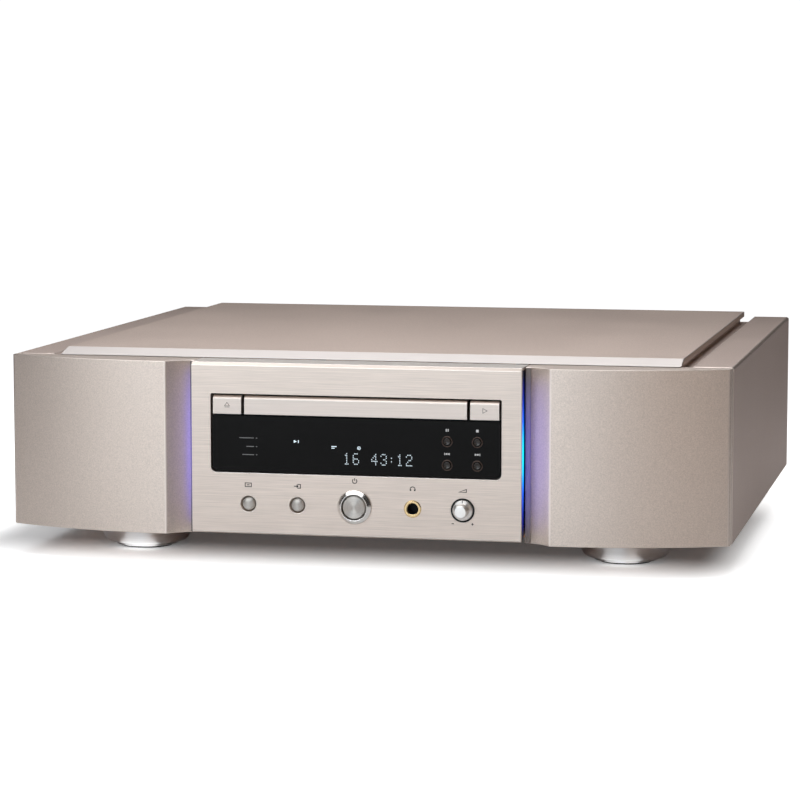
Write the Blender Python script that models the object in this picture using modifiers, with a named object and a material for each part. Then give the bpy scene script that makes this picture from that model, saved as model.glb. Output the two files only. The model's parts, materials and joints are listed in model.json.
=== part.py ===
"""A full-width disc player: an aluminium case on four turned feet, with a motor-driven disc tray.

Lengths below are in millimetres and are turned into metres where a mesh is made.
X runs to the viewer's right, +Z is up, and the front faces -Y.  The origin is at the middle of
the underside of the feet.  Most depths are measured back from the face of the centre fascia, and
back() turns such a depth into Y.
"""

import math

import bmesh
import bpy

MM = 0.001

# Overall sizes
WIDTH = 440.0
DEPTH = 419.0
HEIGHT = 127.0
KNOB_PROUD = 8.0
FASCIA_Y = -DEPTH / 2 + KNOB_PROUD
GAP = 0.3

# Case
FLOOR_LOW = 19.2
FLOOR_HIGH = 21.2
SHELL_LOW = 18.9
SHELL_HIGH = 123.1
PANEL_FRONT = 30.3
PANEL_BACK = 397.0
COVER_HALF = 189.6
COVER_FRONT = 25.2
COVER_BACK = 390.0
COVER_LOW = 123.4
COVER_SLOPE = 14.5
RAIL_INNER = 195.0
REAR_FACE = 392.3
REAR_THICK = 2.0

# Centre fascia
FASCIA_HALF = 99.7
FASCIA_LOW = 20.7
FASCIA_DEEP = 24.9
FASCIA_FACE = 8.0
WINDOW_HALF = 88.0
WINDOW_LOW = 57.3
WINDOW_HIGH = 104.5
BAR_LOW = 92.3
BAR_HIGH = 103.4
BAR_CHAMFER = 1.9
BAR_FACE = 0.2
LIGHT_FRONT = 3.1
LIGHT_INNER = 97.0
ROW_Z = 38.75
DISPLAY_X = -65.0
INPUT_X = -35.0
PHONES_X = 35.0
LEVEL_X = 65.0
SMALL_X = (55.5, 73.5)
SMALL_Z = (79.1, 65.1)

# Cheeks: the curved front corners
CHEEK_INNER = 100.1
CHEEK_EDGE = 116.1
CHEEK_OUTER = 219.6
CHEEK_FACE = 0.9
CHEEK_RADIUS = 250.0
COVE_START = 103.0
COVE_DEEP = 11.0
COVE_TURN = math.radians(24)
CHEEK_WALL = 6.0

# Feet
FOOT_X = 151.0
FOOT_FRONT = 76.0
FOOT_REAR = 330.0

# Disc tray and its drive
TRAY_HALF = 64.0
TRAY_LOW = 96.0
TRAY_HIGH = 102.6
TRAY_FRONT = 6.5
TRAY_BACK = 193.0
SPINDLE = 76.0
WELL_RADIUS = 60.75
WELL_FLOOR = 99.4
SMALL_WELL_RADIUS = 40.75
SMALL_WELL_FLOOR = 98.6
GEAR_MODULE = 1.5
GEAR_TEETH = 16
GEAR_RADIUS = GEAR_MODULE * GEAR_TEETH / 2
GEAR_LOW = 92.6
GEAR_HIGH = 95.5
GEAR_BACK = 40.0
RACK_PITCH_X = 52.0
GEAR_X = RACK_PITCH_X - GEAR_RADIUS
BACKLASH = 0.16
PULLEY_GROOVE = 15.0
PULLEY_MID = 87.0
MOTOR_X = -10.0
MOTOR_GROOVE = 3.0
BELT_THICK = 1.4

# Lifting traverse that carries the spindle and the pickup
PLATE_LOW = 75.0
PLATE_HIGH = 77.0
SEAT_Z = 92.6
ROD_X = 22.0
ROD_Z = 84.0
ROD_RADIUS = 1.5
SCREW_X = -30.0
SCREW_Z = 82.5
SCREW_RADIUS = 1.4
SLIDE_FIT = 0.15

# Rear sockets: x of each, seen from the front
INLET_X = -165.0
INLET_Z = 62.0
XLR_X = (32.0, 172.0)
RCA_X = (68.0, 136.0)
SOCKET_Z = 72.0

SIDES = 24
FINE_SIDES = 32
SMALL_SIDES = 16


def back(depth):
    """Y, in millimetres, of a depth measured back from the fascia's face."""
    return FASCIA_Y + depth


# ---------------------------------------------------------------- scene and materials

for leftover in list(bpy.data.objects):
    bpy.data.objects.remove(leftover, do_unlink=True)

parts = bpy.data.collections.new("cd_player")
cutters = bpy.data.collections.new("cutters")
bpy.context.scene.collection.children.link(parts)
bpy.context.scene.collection.children.link(cutters)


def material(name, colour, roughness, metallic):
    """A Principled material of one colour."""
    made = bpy.data.materials.new(name)
    made.use_nodes = True
    shader = made.node_tree.nodes["Principled BSDF"]
    shader.inputs["Base Color"].default_value = (*colour, 1.0)
    shader.inputs["Roughness"].default_value = roughness
    shader.inputs["Metallic"].default_value = metallic
    return made


CHAMPAGNE = material("champagne_aluminium", (0.66, 0.58, 0.52), 0.4, 0.9)
SATIN = material("satin_aluminium", (0.45, 0.38, 0.34), 0.45, 0.9)
SILVER = material("turned_aluminium", (0.7, 0.7, 0.7), 0.3, 1.0)
POLISHED = material("polished_metal", (0.8, 0.78, 0.76), 0.15, 1.0)
BLACK_GLOSS = material("black_acrylic", (0.01, 0.01, 0.01), 0.08, 0.0)
BLACK = material("black_plastic", (0.02, 0.02, 0.02), 0.5, 0.0)
RUBBER = material("black_rubber", (0.015, 0.015, 0.015), 0.8, 0.0)
LIGHT = material("blue_light_guide", (0.05, 0.35, 1.0), 0.3, 0.0)
STEEL = material("plated_steel", (0.55, 0.55, 0.56), 0.35, 1.0)
COPPER = material("copper_plated_steel", (0.6, 0.3, 0.18), 0.35, 1.0)
BOARD = material("circuit_board", (0.02, 0.12, 0.05), 0.5, 0.0)
BRASS = material("brass", (0.7, 0.52, 0.25), 0.25, 1.0)
GREY = material("grey_plastic", (0.3, 0.3, 0.3), 0.5, 0.0)
GLASS = material("display_glass", (0.05, 0.07, 0.08), 0.1, 0.0)


# ---------------------------------------------------------------- modelling helpers

def move_to(item, collection):
    """Keep an object in one collection only."""
    for other in list(item.users_collection):
        other.objects.unlink(item)
    collection.objects.link(item)


def finish(item, finish_material):
    """Put a part in the player's collection, with its material and smooth round faces."""
    move_to(item, parts)
    item.data.materials.clear()
    item.data.materials.append(finish_material)
    return item


def put_away(item):
    """Make an object a cutter or a tool, which is no part of the player."""
    move_to(item, cutters)
    item.hide_render = True
    item.display_type = "WIRE"


def boolean(target, tool, operation):
    put_away(tool)
    step = target.modifiers.new(operation.lower(), "BOOLEAN")
    step.operation = operation
    step.object = tool
    return target


def cut(target, *tools):
    for tool in tools:
        boolean(target, tool, "DIFFERENCE")
    return target


def join(target, *tools):
    for tool in tools:
        boolean(target, tool, "UNION")
    return target


def box(name, low, high):
    """A box between two corners."""
    centre = [(a + b) / 2 * MM for a, b in zip(low, high)]
    bpy.ops.mesh.primitive_cube_add(size=1, location=centre)
    item = bpy.context.object
    item.name = name
    item.scale = [(b - a) * MM for a, b in zip(low, high)]
    bpy.ops.object.transform_apply(location=False, rotation=False, scale=True)
    return item


def cylinder(name, centre, radius, low, high, axis="Z", sides=SIDES):
    """A cylinder along one axis; centre gives its place on the other two, in X, Y, Z order."""
    middle = (low + high) / 2
    first, second = centre
    places = {
        "X": (middle, first, second),
        "Y": (first, middle, second),
        "Z": (first, second, middle),
    }
    turns = {"X": (0, math.radians(90), 0), "Y": (math.radians(90), 0, 0), "Z": (0, 0, 0)}
    bpy.ops.mesh.primitive_cylinder_add(
        vertices=sides,
        radius=radius * MM,
        depth=(high - low) * MM,
        location=[value * MM for value in places[axis]],
        rotation=turns[axis],
    )
    item = bpy.context.object
    item.name = name
    smooth(item.data)
    return item


def smooth(mesh):
    mesh.shade_smooth()
    mesh.set_sharp_from_angle(angle=math.radians(35))


def prism(name, outlines, axis, low, high):
    """A flat outline, or a list of them with holes, drawn through from low to high along an axis.

    The outline is in XY for a prism along Z, in XZ along Y and in YZ along X.
    """
    curve = bpy.data.curves.new(name, "CURVE")
    curve.dimensions = "2D"
    curve.fill_mode = "BOTH"
    curve.extrude = (high - low) / 2 * MM
    for outline in outlines:
        spline = curve.splines.new("POLY")
        spline.points.add(len(outline) - 1)
        spline.use_cyclic_u = True
        for point, (across, along) in zip(spline.points, outline):
            point.co = (across * MM, along * MM, 0, 1)
    drawn = bpy.data.objects.new(name + "_outline", curve)
    bpy.context.scene.collection.objects.link(drawn)
    middle = (low + high) / 2 * MM
    drawn.location = {"X": (middle, 0, 0), "Y": (0, middle, 0), "Z": (0, 0, middle)}[axis]
    quarter = math.radians(90)
    drawn.rotation_euler = {"X": (quarter, 0, quarter), "Y": (quarter, 0, 0), "Z": (0, 0, 0)}[axis]
    bpy.context.view_layer.update()
    evaluated = drawn.evaluated_get(bpy.context.evaluated_depsgraph_get())
    mesh = bpy.data.meshes.new_from_object(evaluated)
    item = bpy.data.objects.new(name, mesh)
    item.matrix_world = drawn.matrix_world.copy()
    bpy.data.objects.remove(drawn, do_unlink=True)
    shape = bmesh.new()
    shape.from_mesh(mesh)
    bmesh.ops.remove_doubles(shape, verts=shape.verts, dist=1e-6)
    bmesh.ops.recalc_face_normals(shape, faces=shape.faces)
    shape.to_mesh(mesh)
    shape.free()
    smooth(mesh)
    bpy.context.scene.collection.objects.link(item)
    return item


def turned(name, profile, place, facing="up", sides=SIDES, ring=False):
    """A turned part: its profile, as (radius, height), runs from its top down its outer side.

    facing says where the top of the profile points: up, front or rear.
    """
    mesh = bpy.data.meshes.new(name)
    points = [(radius * MM, 0, height * MM) for radius, height in profile]
    edges = [(i, i + 1) for i in range(len(points) - 1)]
    if ring:
        edges.append((len(points) - 1, 0))
    mesh.from_pydata(points, edges, [])
    item = bpy.data.objects.new(name, mesh)
    item.location = [value * MM for value in place]
    turn = {"up": 0, "front": 90, "rear": -90}[facing]
    item.rotation_euler = (math.radians(turn), 0, 0)
    bpy.context.scene.collection.objects.link(item)
    screw = item.modifiers.new("turn", "SCREW")
    screw.axis = "Z"
    screw.steps = sides
    screw.render_steps = sides
    screw.use_merge_vertices = True
    screw.merge_threshold = 0.00001
    screw.use_smooth_shade = True
    return item


def arc(centre, radius, start, end, steps):
    """Points along an arc; angles are in radians, anticlockwise from the first axis."""
    first, second = centre
    return [
        (
            first + radius * math.cos(start + (end - start) * i / steps),
            second + radius * math.sin(start + (end - start) * i / steps),
        )
        for i in range(steps + 1)
    ]


def rounded_rectangle(half, low, high, low_radius, high_radius, steps=6):
    """A rectangle about the middle line, with its own radius on the low and high corners."""
    quarter = math.radians(90)
    points = arc((half - low_radius, low + low_radius), low_radius, -quarter, 0, steps)
    points += arc((half - high_radius, high - high_radius), high_radius, 0, quarter, steps)
    points += [(-across, along) for across, along in reversed(points)]
    return points


def mirrored(outline):
    """The same outline on the other side of the middle line."""
    return [(-across, along) for across, along in reversed(outline)]


# ---------------------------------------------------------------- case

def cheek_outline():
    """The right cheek in plan: flat inner land, cove, long front arc, bevelled outer corner."""
    across = CHEEK_EDGE - COVE_START
    deep = COVE_DEEP - CHEEK_FACE
    chord = math.hypot(across, deep)
    radius = chord / (2 * math.sin(COVE_TURN / 2))
    slope = math.atan2(deep, across)
    first = slope - COVE_TURN / 2
    centre = (COVE_START - radius * math.sin(first), COVE_DEEP - radius * math.cos(first))
    quarter = math.radians(90)
    cove = arc(centre, radius, quarter - first, quarter - first - COVE_TURN, 8)
    sweep = math.asin((CHEEK_OUTER - 1.2 - CHEEK_EDGE - 0.6) / CHEEK_RADIUS)
    bow_centre = (CHEEK_EDGE + 0.6, CHEEK_FACE + CHEEK_RADIUS)
    bow = arc(bow_centre, CHEEK_RADIUS, -quarter, -quarter + sweep, 22)
    outer = bow[-1][1] + 1.4
    points = [(CHEEK_INNER, COVE_DEEP)]
    points += cove[:-1]
    points += [(CHEEK_EDGE, CHEEK_FACE + 0.3)]
    points += bow
    points += [(CHEEK_OUTER, outer), (CHEEK_OUTER, PANEL_FRONT - GAP)]
    points += [(CHEEK_INNER, PANEL_FRONT - GAP)]
    return [(x, back(depth)) for x, depth in points]


def cheek_pocket():
    """The hollow behind the cheek's wall, in plan."""
    quarter = math.radians(90)
    radius = CHEEK_RADIUS - CHEEK_WALL
    centre = (CHEEK_EDGE, CHEEK_FACE + CHEEK_RADIUS)
    start = math.asin(6.0 / radius)
    sweep = math.asin((CHEEK_OUTER - CHEEK_WALL - CHEEK_EDGE) / radius)
    bow = arc(centre, radius, -quarter + start, -quarter + sweep, 8)
    points = [(CHEEK_EDGE + 4.0, 16.0)] + bow
    points += [(CHEEK_OUTER - CHEEK_WALL, 40.0), (CHEEK_EDGE + 4.0, 40.0)]
    return [(x, back(depth)) for x, depth in points]


def build_cheeks():
    for side, turn in (("right", list), ("left", mirrored)):
        cheek = prism("cheek_" + side, [turn(cheek_outline())], "Z", SHELL_LOW, SHELL_HIGH - 0.1)
        low = SHELL_LOW + CHEEK_WALL
        high = SHELL_HIGH - CHEEK_WALL
        pocket = prism("cheek_pocket_" + side, [turn(cheek_pocket())], "Z", low, high)
        cut(cheek, pocket)
        finish(cheek, CHAMPAGNE)


def side_panel_outline():
    """The right side panel from the front: wall, broad top rail and a channel under the cover."""
    outer = WIDTH / 2
    wall = 8.0
    return [
        (outer, SHELL_LOW),
        (outer, SHELL_HIGH - 1.0),
        (outer - 1.0, SHELL_HIGH),
        (RAIL_INNER + 1.2, SHELL_HIGH),
        (RAIL_INNER, SHELL_HIGH - 1.2),
        (RAIL_INNER, 119.3),
        (186.0, 119.3),
        (186.0, 123.0),
        (183.0, 123.0),
        (183.0, 115.1),
        (outer - wall, 115.1),
        (outer - wall, SHELL_LOW),
    ]


def build_side_panels():
    low = back(PANEL_FRONT)
    high = back(PANEL_BACK)
    edge = SHELL_HIGH - 1.6
    wedge = [(low - 1, edge - 1), (low + 4, edge + 4), (low - 1, edge + 4)]
    for side, turn in (("right", list), ("left", mirrored)):
        panel = prism("side_panel_" + side, [turn(side_panel_outline())], "Y", low, high)
        cut(panel, prism("front_edge_cut", [wedge], "X", -WIDTH, WIDTH))
        finish(panel, SATIN)


def build_cover():
    outline = [
        (back(COVER_FRONT), COVER_LOW),
        (back(COVER_FRONT + COVER_SLOPE), HEIGHT),
        (back(COVER_BACK), HEIGHT),
        (back(COVER_BACK), COVER_LOW),
    ]
    cover = prism("top_cover", [outline], "X", -COVER_HALF, COVER_HALF)
    finish(cover, SATIN)


def build_base():
    half = WIDTH / 2 - 8.0 - GAP
    base = box(
        "base_plate",
        (-half, back(PANEL_FRONT), FLOOR_LOW),
        (half, back(REAR_FACE - REAR_THICK - GAP), FLOOR_HIGH),
    )
    finish(base, COPPER)


def build_rear_panel():
    half = WIDTH / 2 - 8.0 - GAP
    notch = RAIL_INNER - 12.0 - GAP
    outline = [
        (-half, FLOOR_LOW),
        (half, FLOOR_LOW),
        (half, 114.8),
        (notch, 114.8),
        (notch, 123.0),
        (-notch, 123.0),
        (-notch, 114.8),
        (-half, 114.8),
    ]
    low = back(REAR_FACE - REAR_THICK)
    panel = prism("rear_panel", [outline], "Y", low, back(REAR_FACE))
    through = (low - 5, back(REAR_FACE) + 5)
    low_corner = (INLET_X - 15.5, through[0], INLET_Z - 12)
    high_corner = (INLET_X + 15.5, through[1], INLET_Z + 12)
    cut(panel, box("inlet_hole", low_corner, high_corner))
    for x in XLR_X:
        cut(panel, cylinder("xlr_hole", (x, SOCKET_Z), 11.8, *through, axis="Y"))
    for x in RCA_X:
        cut(panel, cylinder("rca_hole", (x, SOCKET_Z), 4.4, *through, axis="Y", sides=24))
    finish(panel, COPPER)


def build_feet():
    """A bowl with a stepped waist, standing on a thin damping pad."""
    bowl = [(0, FLOOR_LOW - GAP), (27.0, FLOOR_LOW - GAP), (27.6, 17.6), (27.6, 15.6)]
    for step in range(1, 5):
        turn = math.radians(90) * step / 4
        bowl.append((18.0 + 9.6 * math.cos(turn), 15.6 - 11.4 * math.sin(turn)))
    bowl += [(17.2, 3.6), (17.2, 1.2), (0, 1.2)]
    pad = [(0, 0.9), (15.8, 0.9), (15.8, 0.4), (15.4, 0), (0, 0)]
    for end, depth in (("front", FOOT_FRONT), ("rear", FOOT_REAR)):
        for side, sign in (("left", -1), ("right", 1)):
            place = (sign * FOOT_X, back(depth), 0)
            finish(turned(f"foot_{end}_{side}", bowl, place), SILVER)
            finish(turned(f"foot_pad_{end}_{side}", pad, place), RUBBER)


# ---------------------------------------------------------------- front panel

def fascia_outline():
    """The fascia from the side: an upright face with a deep flange above and one below."""
    top = SHELL_HIGH
    return [
        (back(0.8), FASCIA_LOW),
        (back(0), FASCIA_LOW + 0.8),
        (back(0), top - 1.8),
        (back(1.8), top),
        (back(FASCIA_DEEP), top),
        (back(FASCIA_DEEP), top - 4.5),
        (back(FASCIA_FACE), top - 4.5),
        (back(FASCIA_FACE), FASCIA_LOW + 4.5),
        (back(29.9), FASCIA_LOW + 4.5),
        (back(29.9), FASCIA_LOW),
    ]


def build_fascia():
    fascia = prism("centre_fascia", [fascia_outline()], "X", -FASCIA_HALF, FASCIA_HALF)
    through = (back(-3), back(FASCIA_FACE + 3))
    window = rounded_rectangle(WINDOW_HALF, WINDOW_LOW, WINDOW_HIGH, 3.4, 1.0)
    cut(fascia, prism("window_cut", [window], "Y", *through))
    for side in (-1, 1):
        reach = sorted((side * LIGHT_INNER, side * (FASCIA_HALF + 3)))
        low = (reach[0], back(LIGHT_FRONT), FASCIA_LOW - 3)
        high = (reach[1], back(40), SHELL_HIGH - 1.6)
        cut(fascia, box("light_rebate", low, high))
    for x in (DISPLAY_X, INPUT_X):
        sink = [(0, 2), (5.4, 2), (4.95, 0), (4.2, -1.6), (4.2, -12), (0, -12)]
        place = (x, back(0), ROW_Z)
        cut(fascia, turned("button_sink", sink, place, facing="front", sides=FINE_SIDES))
    cut(fascia, cylinder("power_hole", (0, ROW_Z), 9.0, *through, axis="Y", sides=SMALL_SIDES))
    cut(fascia, cylinder("phones_hole", (PHONES_X, ROW_Z), 4.6, *through, axis="Y"))
    cut(fascia, cylinder("level_hole", (LEVEL_X, ROW_Z), 7.1, *through, axis="Y", sides=FINE_SIDES))
    finish(fascia, CHAMPAGNE)


def build_light_bars():
    for side, sign in (("left", -1), ("right", 1)):
        reach = sorted((sign * (LIGHT_INNER + GAP), sign * (FASCIA_HALF - 0.2)))
        low = (reach[0], back(LIGHT_FRONT + GAP), FASCIA_LOW + 0.3)
        high = (reach[1], back(10.6), SHELL_HIGH - 2.0)
        finish(box("light_bar_" + side, low, high), LIGHT)


def build_subframe():
    """The moulding behind the fascia that guides the buttons and surrounds the tray."""
    low = back(FASCIA_FACE + GAP)
    high = low + 2.5
    frame = box("front_subframe", (-94.0, low, 28.0), (94.0, high, 116.0))
    through = (low - 4, high + 4)
    cut(frame, box("tray_slot", (-70.5, through[0], 91.9), (70.5, through[1], 105.5)))
    cut(frame, box("display_slot", (-30.0, through[0], 60.0), (45.0, through[1], 88.0)))
    for x in SMALL_X:
        for z in SMALL_Z:
            cut(frame, cylinder("plunger_hole", (x, z), 2.1, *through, axis="Y", sides=8))
    for x in (-78.0, 78.0):
        cut(frame, cylinder("plunger_hole", (x, 97.8), 2.7, *through, axis="Y", sides=12))
    for x, radius in ((DISPLAY_X, 4.4), (INPUT_X, 4.4), (0, 9.2), (PHONES_X, 6.6), (LEVEL_X, 7.4)):
        cut(frame, cylinder("row_hole", (x, ROW_Z), radius, *through, axis="Y", sides=SMALL_SIDES))
    finish(frame, BLACK)


def build_window():
    low = back(0.9)
    high = low + 3.0
    outline = rounded_rectangle(WINDOW_HALF - 0.8, WINDOW_LOW + 1.0, 91.3, 3.0, 0.5)
    window = prism("display_window", [outline], "Y", low, high)
    for x in SMALL_X:
        for z in SMALL_Z:
            hole = cylinder("button_hole", (x, z), 2.9, low - 3, high + 3, axis="Y", sides=SMALL_SIDES)
            cut(window, hole)
    finish(window, BLACK_GLOSS)


def build_display():
    finish(box("display_module", (-29.5, back(8.6), 60.5), (44.5, back(15.0), 87.5)), GLASS)
    board = box("display_board", (-92.0, back(19.0), 30.0), (92.0, back(20.6), 89.0))
    for x, radius in ((PHONES_X, 7.0), (0, 9.4)):
        hole = cylinder("row_clear", (x, ROW_Z), radius, back(15), back(25), axis="Y", sides=SMALL_SIDES)
        cut(board, hole)
    finish(board, BOARD)


def bar_outline():
    """The tray bar and the two long buttons from the side, chamfered along the top."""
    return [
        (back(BAR_FACE), BAR_LOW),
        (back(BAR_FACE), BAR_HIGH - BAR_CHAMFER),
        (back(BAR_FACE + 1.5), BAR_HIGH),
        (back(6.2), BAR_HIGH),
        (back(6.2), BAR_LOW),
    ]


def build_bars():
    finish(prism("tray_front", [bar_outline()], "X", -67.4, 67.4), CHAMPAGNE)
    for name, low, high in (("eject_button", -86.6, -69.2), ("play_button", 69.2, 86.6)):
        cap = prism(name, [bar_outline()], "X", low, high)
        centre = (low + high) / 2
        stem = cylinder(name + "_stem", (centre, 97.8), 2.2, back(5), back(16), axis="Y", sides=16)
        join(cap, stem)
        finish(cap, CHAMPAGNE)


def build_small_buttons():
    names = (("pause_button", "stop_button"), ("previous_button", "next_button"))
    profile = [(0, 0.1), (2.2, 0.4), (2.6, 0.0), (2.6, -5.0)]
    profile += [(1.8, -5.0), (1.8, -15.0), (0, -15.0)]
    for row, z in zip(names, SMALL_Z):
        for name, x in zip(row, SMALL_X):
            button = turned(name, profile, (x, back(0.6), z), facing="front", sides=SMALL_SIDES)
            finish(button, BLACK_GLOSS)


def build_row_controls():
    """The lower row: two small buttons, the power button, the phones socket and the level knob."""
    cap = [(0, 0.7), (1.6, 0.6), (2.9, 0.1), (3.8, -0.7)]
    cap += [(3.8, -9.0), (2.0, -9.0), (2.0, -18.0), (0, -18.0)]
    for name, x in (("display_button", DISPLAY_X), ("input_button", INPUT_X)):
        finish(turned(name, cap, (x, back(0), ROW_Z), facing="front"), POLISHED)
    ring = [(7.6, 2.9), (8.0, 3.1), (10.1, 1.1), (10.3, 0.7)]
    ring += [(10.3, 0.3), (8.6, 0.3), (8.6, -10.5), (7.6, -10.5)]
    place = (0, back(0), ROW_Z)
    finish(turned("power_ring", ring, place, facing="front", sides=FINE_SIDES, ring=True), POLISHED)
    disc = [(0, 2.4), (6.4, 2.6), (6.8, 2.2), (6.8, -14.0)]
    disc += [(3.0, -14.0), (3.0, -26.0), (0, -26.0)]
    finish(turned("power_button", disc, place, facing="front", sides=FINE_SIDES), SILVER)
    socket = [
        (3.25, 0.2),
        (3.7, 0.9),
        (4.7, 0.9),
        (5.2, 0.3),
        (4.3, 0.3),
        (4.3, -9.6),
        (6.2, -9.6),
        (6.2, -34.0),
        (0, -34.0),
        (0, -32.0),
        (3.25, -32.0),
    ]
    place = (PHONES_X, back(0), ROW_Z)
    finish(turned("headphone_socket", socket, place, facing="front", ring=True), BRASS)
    knob = [
        (0, KNOB_PROUD),
        (3.5, KNOB_PROUD),
        (4.0, 7.5),
        (4.0, 1.6),
        (5.9, 0.6),
        (6.1, 0.2),
        (6.1, -4.0),
        (1.2, -4.0),
        (1.2, -3.9),
        (1.2, 4.0),
        (0, 4.0),
    ]
    place = (LEVEL_X, back(0), ROW_Z)
    finish(turned("level_knob", knob, place, facing="front", sides=FINE_SIDES), CHAMPAGNE)
    low = (LEVEL_X - 7.5, back(11.0), ROW_Z - 8)
    high = (LEVEL_X + 7.5, back(18.5), ROW_Z + 8)
    pot = box("level_pot", low, high)
    join(pot, cylinder("pot_shaft", (LEVEL_X, ROW_Z), 1.1, back(-3.5), back(12), axis="Y", sides=16))
    finish(pot, STEEL)


# ---------------------------------------------------------------- disc tray and loader

def rack_outline():
    """The rack under the tray: straight-sided teeth that point to the middle of the tray."""
    pitch = math.pi * GEAR_MODULE
    lean = math.tan(math.radians(20))
    tip = RACK_PITCH_X - GEAR_MODULE
    root = RACK_PITCH_X + 1.25 * GEAR_MODULE
    half_tip = pitch / 4 - GEAR_MODULE * lean - BACKLASH / 2
    half_root = pitch / 4 + 1.25 * GEAR_MODULE * lean - BACKLASH / 2
    points = []
    for tooth in range(-1, 32):
        middle = GEAR_BACK + tooth * pitch
        points += [
            (root, back(middle - half_root)),
            (tip, back(middle - half_tip)),
            (tip, back(middle + half_tip)),
            (root, back(middle + half_root)),
        ]
    last = points[-1][1]
    first = points[0][1]
    points += [(root, last + 0.6), (56.5, last + 0.6)]
    points += [(56.5, first - 0.6), (root, first - 0.6)]
    return points


def build_tray():
    low = (-TRAY_HALF, back(TRAY_FRONT), TRAY_LOW)
    high = (TRAY_HALF, back(TRAY_BACK), TRAY_HIGH)
    tray = box("disc_tray", low, high)
    centre = (0, back(SPINDLE))
    above = TRAY_HIGH + 5
    below = TRAY_LOW - 5
    cut(tray, cylinder("disc_well", centre, WELL_RADIUS, WELL_FLOOR, above, sides=48))
    small = cylinder("small_well", centre, SMALL_WELL_RADIUS, SMALL_WELL_FLOOR, above, sides=FINE_SIDES)
    cut(tray, small)
    cut(tray, cylinder("spindle_opening", centre, 19.0, below, above))
    cut(tray, box("pickup_opening", (-17, back(SPINDLE), below), (17, back(143), above)))
    join(tray, prism("tray_rack", [rack_outline()], "Z", GEAR_LOW, TRAY_LOW + 1.0))
    finish(tray, BLACK)


def gear_outline():
    """The loading gear in plan: involute teeth, with a gap facing the rack."""
    base = GEAR_RADIUS * math.cos(math.radians(20))
    root = GEAR_RADIUS - 1.3 * GEAR_MODULE
    tip = GEAR_RADIUS + 0.9 * GEAR_MODULE
    pressure = math.tan(math.radians(20)) - math.radians(20)
    half_pitch = math.pi / (2 * GEAR_TEETH) - BACKLASH / (2 * GEAR_RADIUS)

    def half_angle(radius):
        if radius <= base:
            return half_pitch + pressure
        roll = math.acos(base / radius)
        return half_pitch + pressure - (math.tan(roll) - roll)

    radii = [root, base, tip]
    points = []
    for tooth in range(GEAR_TEETH):
        middle = 2 * math.pi * (tooth + 0.5) / GEAR_TEETH
        flank = [(radius, middle - half_angle(radius)) for radius in radii]
        flank += [(radius, middle + half_angle(radius)) for radius in reversed(radii)]
        points += [(radius * math.cos(turn), radius * math.sin(turn)) for radius, turn in flank]
    return points


def pulley(name, groove, place, bore, sides):
    """A grooved belt pulley with a bore for its shaft."""
    mid = PULLEY_MID
    high = mid + 1.8
    low = mid - 1.8
    flange = groove + 1.8
    profile = [
        (bore, high),
        (flange, high),
        (flange, mid + 1.3),
        (groove, mid + 1.1),
        (groove, mid - 1.1),
        (flange, mid - 1.3),
        (flange, low),
        (bore, low),
    ]
    return turned(name, profile, place, sides=sides, ring=True)


def build_loader_drive():
    gear_place = (GEAR_X, back(GEAR_BACK), 0)
    gear = pulley("loader_gear", PULLEY_GROOVE, gear_place, 1.0, SIDES)
    teeth = prism("gear_teeth", [gear_outline()], "Z", 88.2, GEAR_HIGH - 0.2)
    teeth.location.x += GEAR_X * MM
    teeth.location.y += back(GEAR_BACK) * MM
    join(gear, teeth)
    cut(gear, cylinder("gear_bore", (GEAR_X, back(GEAR_BACK)), 1.65, 80, 99, sides=16))
    finish(gear, GREY)
    motor_place = (MOTOR_X, back(GEAR_BACK), 0)
    finish(pulley("motor_pulley", MOTOR_GROOVE, motor_place, 1.15, 12), GREY)
    motor = cylinder("loader_motor", (MOTOR_X, back(GEAR_BACK)), 11.5, 58, 78.7)
    join(motor, cylinder("motor_shaft", (MOTOR_X, back(GEAR_BACK)), 1.05, 70, 89.2, sides=16))
    finish(motor, STEEL)
    loops = [belt_loop(GAP), belt_loop(GAP + BELT_THICK)]
    finish(prism("drive_belt", loops, "Z", PULLEY_MID - 0.7, PULLEY_MID + 0.7), RUBBER)


def belt_loop(offset):
    """The outline of a belt round both pulleys, at a distance from the bottoms of the grooves."""
    large = PULLEY_GROOVE + offset
    small = MOTOR_GROOVE + offset
    lean = math.acos((large - small) / (GEAR_X - MOTOR_X))
    points = arc((GEAR_X, 0), large, -math.pi + lean, math.pi - lean, 18)
    points += arc((MOTOR_X, 0), small, math.pi - lean, math.pi + lean, 6)
    return [(x, back(GEAR_BACK) + y) for x, y in points]


def loader_wall():
    """The right wall of the loader from the front, with the lips that guide the tray."""
    return [
        (65.6, FLOOR_HIGH + GAP),
        (77.0, FLOOR_HIGH + GAP),
        (77.0, FLOOR_HIGH + 2.3),
        (68.6, FLOOR_HIGH + 2.3),
        (68.6, 108.4),
        (65.6, 108.4),
        (65.6, 105.0),
        (61.5, 105.0),
        (61.5, 103.0),
        (65.6, 103.0),
        (65.6, 95.6),
        (61.5, 95.6),
        (61.5, 93.4),
        (65.6, 93.4),
    ]


def build_loader_frame():
    low = back(31.0)
    high = back(200)
    frame = prism("loader_frame", [loader_wall()], "Y", low, high)
    other = prism("loader_wall_left", [mirrored(loader_wall())], "Y", low, high)
    shelf = box("motor_shelf", (-67.0, back(31.5), 79.0), (67.0, back(56), 81.0))
    brace = box("rear_brace", (-67.0, back(186), 60.0), (67.0, back(199), 63.0))
    post = cylinder("gear_post", (GEAR_X, back(GEAR_BACK)), 1.5, 80, 95.0, sides=16)
    join(frame, shelf, brace, other, post)
    cut(frame, cylinder("shaft_hole", (MOTOR_X, back(GEAR_BACK)), 4.0, 75, 84, sides=24))
    finish(frame, BLACK)


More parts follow.
